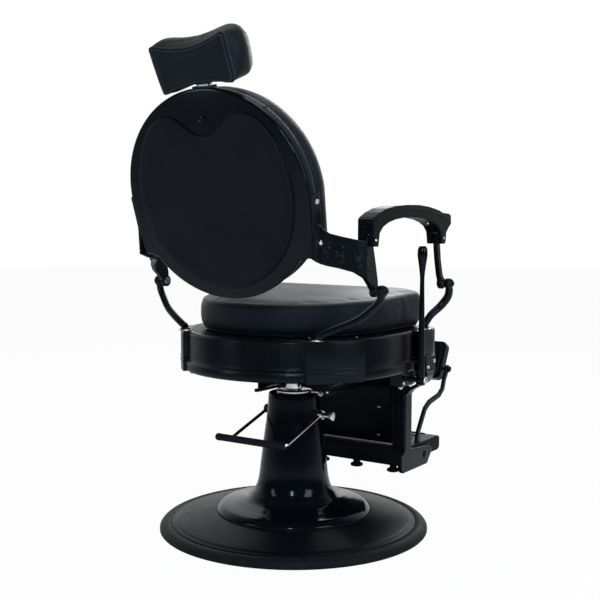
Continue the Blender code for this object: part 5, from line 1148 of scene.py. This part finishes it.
def make_back_panel():
    """Upholstered rear panel and the bright line round its edge."""
    steps = [(0.0024, 0.0002), (0.0006, 0.0012), (0.0, 0.0030), (0.0010, 0.0052), (0.0042, 0.0072),
             (0.0100, 0.0085), (0.0180, 0.0090), (0.0300, 0.0093), (0.0600, 0.0096)]
    rings = [[back_point(u, v, -depth) for u, v in panel_plan(inset)] for inset, depth in steps]
    for share in (0.5, 0.25, 0.08):
        rings.append([back_point(u * share, v * share, -0.0098) for u, v in panel_plan(0.060)])
    piece = skin(rings)
    give(piece, "back_panel_pad", "back", PANEL_LEATHER, ("back_panel",), 60.0)
    groove = [back_point(u, v, -0.0006) for u, v in panel_plan(-0.0006)]
    give(tube(groove, 0.0012, closed=True), "back_panel_edge", "back", GLOSS)


# ===================================================================== headrest
HEAD_LOW = -0.002         # middle of the pillow's foot from the tilt axis
HEAD_HEIGHT = 0.0998
HEAD_WIDTH = 0.240
HEAD_BACK = 0.0196        # rear face of the pillow behind the axis
HEAD_DEPTH = 0.094
HEAD_ROLL = math.radians(4.5)
HEAD_SHIFT = 0.006
HEAD_ARCH = 0.0112        # drop of the foot from its middle to its ends
HEAD_POCKET = ((-0.0365, -0.040), (0.0365, -0.040), (0.0365, 0.0108), (-0.0365, 0.0108))
HEAD_POCKET_ENDS = (-0.0145, 0.0145)
HEAD_SADDLE = 0.018       # dip of the top edge at the rear and front faces
HEAD_CROWN_DIP = 0.011    # dip of the top in the middle of the pillow's depth
HEAD_CROWN_RISE = 0.009
HEAD_BULGE = 0.013
HEAD_TAPER = 0.008
STITCH_LENGTH = 0.0042
STITCH_GAP = 0.0026
STITCH_RADIUS = 0.0008
STITCH_SIDES = 6
STITCH_STEP = 0.0004


def head_point(u, v, depth):
    """A place on the headrest, which sits turned a little to one side: across, up and forward."""
    across = u * math.cos(HEAD_ROLL) + v * math.sin(HEAD_ROLL) + HEAD_SHIFT
    up = v * math.cos(HEAD_ROLL) - u * math.sin(HEAD_ROLL)
    y = HEAD_PIVOT.y + up * math.sin(HEAD_LEAN) - depth * math.cos(HEAD_LEAN)
    z = HEAD_PIVOT.z + up * math.cos(HEAD_LEAN) + depth * math.sin(HEAD_LEAN)
    return Vector((across, y, z))


def pillow_row(share, inset, swell):
    """One outline of the pillow: saddle top, arched foot and round ends."""
    low = HEAD_LOW
    high = low + HEAD_HEIGHT + swell * HEAD_CROWN_RISE
    top_half = HEAD_WIDTH / 2 - inset - HEAD_BULGE * (1 - swell)
    foot_half = top_half - HEAD_TAPER / 2
    corner = 0.005 + 0.024 * max(swell, min(share * 1.2, 1.0))
    dip = HEAD_SADDLE + (HEAD_CROWN_DIP - HEAD_SADDLE) * swell
    steps = 22
    foot, top = [], []
    for k in range(steps + 1):
        t = -1 + 2 * k / steps
        drop = HEAD_ARCH * t * t
        foot.append((t * (foot_half - corner), low + inset - drop))
        top.append((-t * (top_half - corner), high - inset - dip * (1 - t * t)))
    start = Vector((foot_half - corner, low + inset - HEAD_ARCH))
    goal = Vector((top_half - corner, high - inset))
    end = []
    for k in range(1, 4):
        angle = math.radians(-90 + 90 * k / 4)
        end.append((start.x + corner * math.cos(angle), start.y + corner + corner * math.sin(angle)))
    for k in range(5):
        t = k / 4
        reach = foot_half + (top_half - foot_half) * t + 0.006 * swell * math.sin(math.pi * t)
        end.append((reach, start.y + corner + (goal.y - start.y - 2 * corner) * t))
    for k in range(1, 4):
        angle = math.radians(90 * k / 4)
        end.append((goal.x + corner * math.cos(angle), goal.y - corner + corner * math.sin(angle)))
    outline = foot + end + top + [(-u, v) for u, v in end[::-1]]
    depth = -HEAD_BACK + HEAD_DEPTH * share
    return [head_point(u, v, depth) for u, v in outline]


def make_headrest():
    """Pillow with flat back and front panels and a swelling gusset sewn between them."""
    steps = [(0.0, 0.0045, 0.0), (0.008, 0.0016, 0.0), (0.035, 0.0008, 0.02), (0.10, 0.0018, 0.30),
             (0.20, 0.0022, 0.66), (0.32, 0.0022, 0.92), (0.46, 0.0022, 1.0), (0.60, 0.0022, 0.92),
             (0.74, 0.0025, 0.66), (0.86, 0.0035, 0.36), (0.94, 0.0060, 0.10), (0.98, 0.0120, 0.0),
             (1.0, 0.0240, 0.0)]
    piece = skin([pillow_row(*step) for step in steps])
    plump(piece, 0.0034, 0.003)
    pocket = skin([[head_point(u, v, depth) for u, v in HEAD_POCKET] for depth in HEAD_POCKET_ENDS])
    modify(piece, "BOOLEAN", object=pocket, operation="DIFFERENCE", solver="EXACT")
    bpy.data.objects.remove(pocket)
    give(piece, "headrest_pad", "headrest", LEATHER, ("headrest_pillow",), 60.0)
    seams = (("rear", 0.020, 0.0010), ("front", 0.93, 0.0030))
    for name, share, inset in seams:
        line = lying_on(piece, pillow_row(share, inset, 0.0), 0.0003)
        give(tube(line, 0.0015, closed=True), "headrest_seam_" + name, "headrest", LEATHER)
    for name, share, inset, swell in (("outer", 0.070, 0.0012, 0.15), ("inner", 0.0, 0.0052, 0.0)):
        line = lying_on(piece, pillow_row(share, inset, swell), 0.0004)
        give(stitches(line), "headrest_stitches_" + name, "headrest", THREAD_AND_GLINT)
    # The chrome socket gets the dark plate, a painted shade in the gap under the pillow.
    plain(SHADED_CHROME, "headrest_socket")
    plain(CHROME, "headrest_stem")
    trimmed("headrest_hinge", STEEL, 0.0004)


def stitches(line):
    """Short threads laid end to end along a closed seam."""
    pieces = []
    travelled = 0.0
    begin = None
    for a, b in zip(line, line[1:] + line[:1]):
        span = (b - a).length
        at = 0.0
        while at < span:
            phase = (travelled + at) % (STITCH_LENGTH + STITCH_GAP)
            if phase < STITCH_LENGTH and begin is None:
                begin = a + (b - a) * (at / span)
            if phase >= STITCH_LENGTH and begin is not None:
                pieces.append((begin, a + (b - a) * (at / span)))
                begin = None
            at += STITCH_STEP
        travelled += span
    points, faces = [], []
    sides = range(STITCH_SIDES)
    for start, end in pieces:
        ahead = (end - start).normalized()
        side = ahead.orthogonal().normalized()
        other = ahead.cross(side)
        base = len(points)
        for along, wide in ((0.0, 0.45), (0.25, 1.0), (0.75, 1.0), (1.0, 0.45)):
            for k in sides:
                angle = math.tau * k / STITCH_SIDES
                outward = side * math.cos(angle) + other * math.sin(angle)
                points.append(start.lerp(end, along) + outward * STITCH_RADIUS * wide)
        for row in range(3):
            low = base + row * STITCH_SIDES
            high = low + STITCH_SIDES
            for k in sides:
                after = (k + 1) % STITCH_SIDES
                faces.append((low + k, low + after, high + after, high + k))
        faces.append(tuple(base + k for k in sides)[::-1])
        faces.append(tuple(base + 3 * STITCH_SIDES + k for k in sides))
    return cleaned("stitches", points, faces)


# ===================================================================== footrest
EAR_BOLTS = ((-0.190, 0.427), (-0.156, 0.415))
FOOT_BOSS = (-0.335, 0.146)
FLAP_AXIS = (-0.516, 0.356)
SHIN_BOLT_X = 0.101
SHIN_BOLT_HEIGHTS = (0.277, 0.200)
SHIN_CORNER = 0.014


def make_footrest():
    """Side castings, shin panel with its frame, both footplates and the rubber feet."""
    for side, sign in SIDES:
        casting_node = "footrest_side_" + side
        cast(casting_node, GLOSS_CAST, 0.0014, 4)
        cast("footplate_arm_" + side, GLOSS_CAST, 0.0010, 3)
        for number, (y, z) in enumerate(EAR_BOLTS):
            place, normal = on_surface(casting_node, (sign * 0.4, y, z), (-sign, 0, 0))
            dome_bolt("ear_bolt_%s_%d" % (side, number + 1), place, normal, 0.0050, 0.0036, "seat")
        place, normal = on_surface(casting_node, (sign * 0.4, *FOOT_BOSS), (-sign, 0, 0))
        dome_bolt("foot_boss_" + side, place, normal, 0.0100, 0.0036, "seat", GLOSS)
        low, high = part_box("upper_footplate")
        x = high.x if sign > 0 else low.x
        dome_bolt("flap_bolt_" + side, (x - sign * 0.0004, *FLAP_AXIS), (sign, 0, 0), 0.0085, 0.0042,
                  "footplate_flap", GLOSS)
        for number, z in enumerate(SHIN_BOLT_HEIGHTS):
            place, normal = on_surface("shin_panel", (sign * SHIN_BOLT_X, 0.0, z), (0, -1, 0))
            dome_bolt("shin_bolt_%s_%d" % (side, number + 1), place, normal, 0.0042, 0.0026, "seat")
    trimmed("shin_panel", SATIN, 0.0010)
    give(tube(shin_frame(), 0.0016, closed=True), "shin_frame", "seat", SATIN)
    cast("lower_footplate", STEP_CAST, 0.0018, 3, step_scrolls())
    cast("upper_footplate", GLOSS_CAST, 0.0014, 4, plate_scrolls())
    for name in ("inner", "outer"):
        for side, _ in SIDES:
            make_bumper("bumper_%s_%s" % (name, side))


def shin_frame():
    """Rounded oblong round the middle of the shin panel, on its rear face."""
    tree = faces_of(frame["nodes"]["shin_panel"].data)
    low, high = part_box("shin_panel")
    wide = (high.x - low.x) / 2 - 0.030
    tall = (high.z - low.z) / 2 - 0.020
    middle = (high.z + low.z) / 2
    route = []
    for turn in range(4):
        for k in range(7):
            angle = math.radians(90 * turn + 15 * k)
            across = math.cos(math.radians(90 * turn + 45))
            along = math.sin(math.radians(90 * turn + 45))
            x = math.copysign(wide - SHIN_CORNER, across) + SHIN_CORNER * math.cos(angle)
            z = middle + math.copysign(tall - SHIN_CORNER, along) + SHIN_CORNER * math.sin(angle)
            route.append(tree.ray_cast(Vector((x, 0.0, z)), Vector((0, -1, 0)))[0])
    return route


def make_bumper(node):
    """Rubber foot under the lower footplate."""
    low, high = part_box(node)
    wide = (high.x - low.x) / 2
    profile = [
        (0.0, 0.0), (wide - 0.0035, 0.0), (wide - 0.0010, 0.0012), (wide, 0.0034), (wide, 0.0056),
        (wide - 0.0016, 0.0078), (wide - 0.0050, 0.0090), (0.0102, 0.0096), (0.0094, 0.0120),
        (0.0094, high.z - low.z), (0.0, high.z - low.z),
    ]
    piece = spun(profile, 40)
    stand(piece, ((low.x + high.x) / 2, (low.y + high.y) / 2, low.z), (0, 0, 1))
    give(piece, node + "_foot", body_of(node), RUBBER, (node,))


def step_scrolls():
    """Leaf-like curves between the ribs of the lower footplate."""
    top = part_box("lower_footplate")[1].z - 0.003
    curls = []
    for sign, start in ((1.0, 60), (-1.0, 210)):
        for number in range(4):
            y = -0.417 + 0.038 * number
            for x in (0.045, 0.105, 0.150):
                curls.append(scroll(Vector((sign * x, y, top)), (0, 0, 1), 0.0150, start, 70, 0.0016))
    return curls


def plate_scrolls():
    """Oval frame and curls on both faces of the upper footplate."""
    curls = []
    for way in (-1.0, 1.0):
        for x in (-0.090, 0.0, 0.090):
            origin = Vector((x, -0.516 - way * 0.20, 0.365 - way * 0.070))
            direction = Vector((0, way, way * 0.35))
            place, normal = on_surface("upper_footplate", origin, direction)
            curls.append(scroll(place, normal, 0.0240, 0, 359, 0.0016))
            curls.append(scroll(place, normal, 0.0130, 40, 250, 0.0015))
    return curls


# ======================================================== scene, light and camera
LAMP_TARGET = Vector((0.0, 0.0, 0.62))
COOL_LIGHT = (0.86, 0.93, 1.0)
PLAIN_LIGHT = (1.0, 1.0, 1.0)
TOWARDS_BACKDROP = (0.559, -0.829, 0.10)
WHITE = (1, 1, 1, 1)


def area_light(name, azimuth, distance, height, size, power, colour):
    """Soft box on a stand, at an angle from straight in front towards the sitter's left."""
    turn = math.radians(azimuth)
    place = Vector((distance * math.sin(turn), -distance * math.cos(turn), height))
    lamp = bpy.data.lights.new(name, "AREA")
    lamp.shape = "RECTANGLE"
    lamp.size, lamp.size_y = size
    lamp.energy = power
    lamp.color = colour
    item = linked(name, lamp)
    item.location = place
    item.rotation_euler = (LAMP_TARGET - place).to_track_quat("-Z", "Y").to_euler()


def make_lights():
    """Lamps round the chair: azimuth, distance, height, size, power and colour."""
    area_light("flash", 209.0, 2.7, 1.75, (0.18, 1.10), 24.0, COOL_LIGHT)
    area_light("right", 262.0, 2.6, 1.7, (1.0, 1.7), 30.0, COOL_LIGHT)
    area_light("left", 146.0, 2.8, 1.6, (0.5, 1.6), 11.0, COOL_LIGHT)
    area_light("front", 15.0, 3.0, 1.9, (1.3, 1.6), 26.0, PLAIN_LIGHT)
    area_light("top", 0.0, 0.05, 3.3, (1.8, 1.8), 19.0, PLAIN_LIGHT)


def make_world():
    """Plain light, a white background to the camera, and to shine a studio that is white only
    towards the backdrop."""
    world = bpy.data.worlds.new("studio")
    bpy.context.scene.world = world
    world.use_nodes = True
    tree = world.node_tree
    tree.nodes.clear()
    towards = make_node(tree, "ShaderNodeTexCoord", {}, {}, "Generated")
    facing = make_node(tree, "ShaderNodeVectorMath", {"operation": "DOT_PRODUCT"},
                       {0: towards, 1: TOWARDS_BACKDROP}, "Value")
    backdrop = facing.between(0.05, 0.90) * 0.94 + 0.06
    rays = make_node(tree, "ShaderNodeLightPath", {}, {}, "Is Camera Ray")
    outputs = rays.socket.node.outputs
    mirrored = Field(tree, outputs["Is Glossy Ray"]) + Field(tree, outputs["Is Transmission Ray"])
    soft = make_node(tree, "ShaderNodeBackground", {}, {"Strength": 0.40})
    studio = make_node(tree, "ShaderNodeBackground", {}, {"Color": WHITE, "Strength": backdrop})
    white = make_node(tree, "ShaderNodeBackground", {}, {"Color": WHITE, "Strength": 1.0})
    lit = make_node(tree, "ShaderNodeMixShader", {}, {0: mirrored, 1: soft, 2: studio})
    seen = make_node(tree, "ShaderNodeMixShader", {}, {0: rays, 1: lit, 2: white})
    out = tree.nodes.new("ShaderNodeOutputWorld")
    tree.links.new(seen.socket, out.inputs["Surface"])


def make_floor():
    """Pale floor that looks white to the camera and keeps the chair's shadow."""
    bpy.ops.mesh.primitive_circle_add(vertices=96, radius=14.0, fill_type="NGON", location=(0, 0, -0.0005))
    floor = bpy.context.object
    floor.name = "studio_floor"
    paint = Paint("studio_floor", (0.86, 0.86, 0.87), 0.75)
    paint.shade(paint.noise(0.6, 2.0), 0.99, 1.01)
    tree = paint.tree
    camera = make_node(tree, "ShaderNodeLightPath", {}, {}, "Is Camera Ray")
    glow = make_node(tree, "ShaderNodeEmission", {}, {"Color": WHITE, "Strength": 1.0})
    lit = Field(tree, paint.shader.outputs[0])
    mixed = make_node(tree, "ShaderNodeMixShader", {}, {0: camera * FLOOR_WHITE, 1: lit, 2: glow})
    tree.links.new(mixed.socket, tree.nodes["Material Output"].inputs["Surface"])
    floor.data.materials.append(paint.material)


def make_camera():
    """The photograph's camera."""
    azimuth = math.radians(CAMERA_AZIMUTH)
    up = Vector((0, 0, 1))
    ahead = Vector((-math.sin(azimuth), math.cos(azimuth), 0))
    place = up * CAMERA_HEIGHT - ahead * CAMERA_DISTANCE
    right = Vector((math.cos(azimuth), math.sin(azimuth), 0))
    yaw, pitch, roll = (math.radians(a) for a in (CAMERA_YAW, CAMERA_PITCH, CAMERA_ROLL))
    turned_ahead = ahead * math.cos(yaw) + right * math.sin(yaw)
    right = right * math.cos(yaw) - ahead * math.sin(yaw)
    ahead = turned_ahead * math.cos(pitch) - up * math.sin(pitch)
    above = up * math.cos(pitch) + turned_ahead * math.sin(pitch)
    level = right * math.cos(roll) + above * math.sin(roll)
    above = above * math.cos(roll) - right * math.sin(roll)
    lens = bpy.data.cameras.new("camera")
    lens.sensor_fit = "HORIZONTAL"
    lens.sensor_width = SENSOR
    lens.lens = FOCAL_PIXELS * SENSOR / FRAME_PIXELS
    lens.clip_end = 60.0
    camera = linked("camera", lens)
    turn = Matrix((level, above, -ahead)).transposed().to_4x4()
    camera.matrix_world = Matrix.Translation(place) @ turn
    bpy.context.scene.camera = camera


bpy.context.scene.view_settings.view_transform = "Standard"
make_camera()
make_lights()
make_world()
make_floor()
make_base()
make_column()
make_ram()
make_pedal()
make_seat_cushion()
make_ring()
make_under_seat()
make_legs()
make_armrests()
make_brackets()
make_recline_lever()
make_back_shell()
make_back_band()
make_back_cushion()
make_back_panel()
make_headrest()
make_footrest()
plain(STEEL, "hydraulic_cylinder", "pump_barrel")
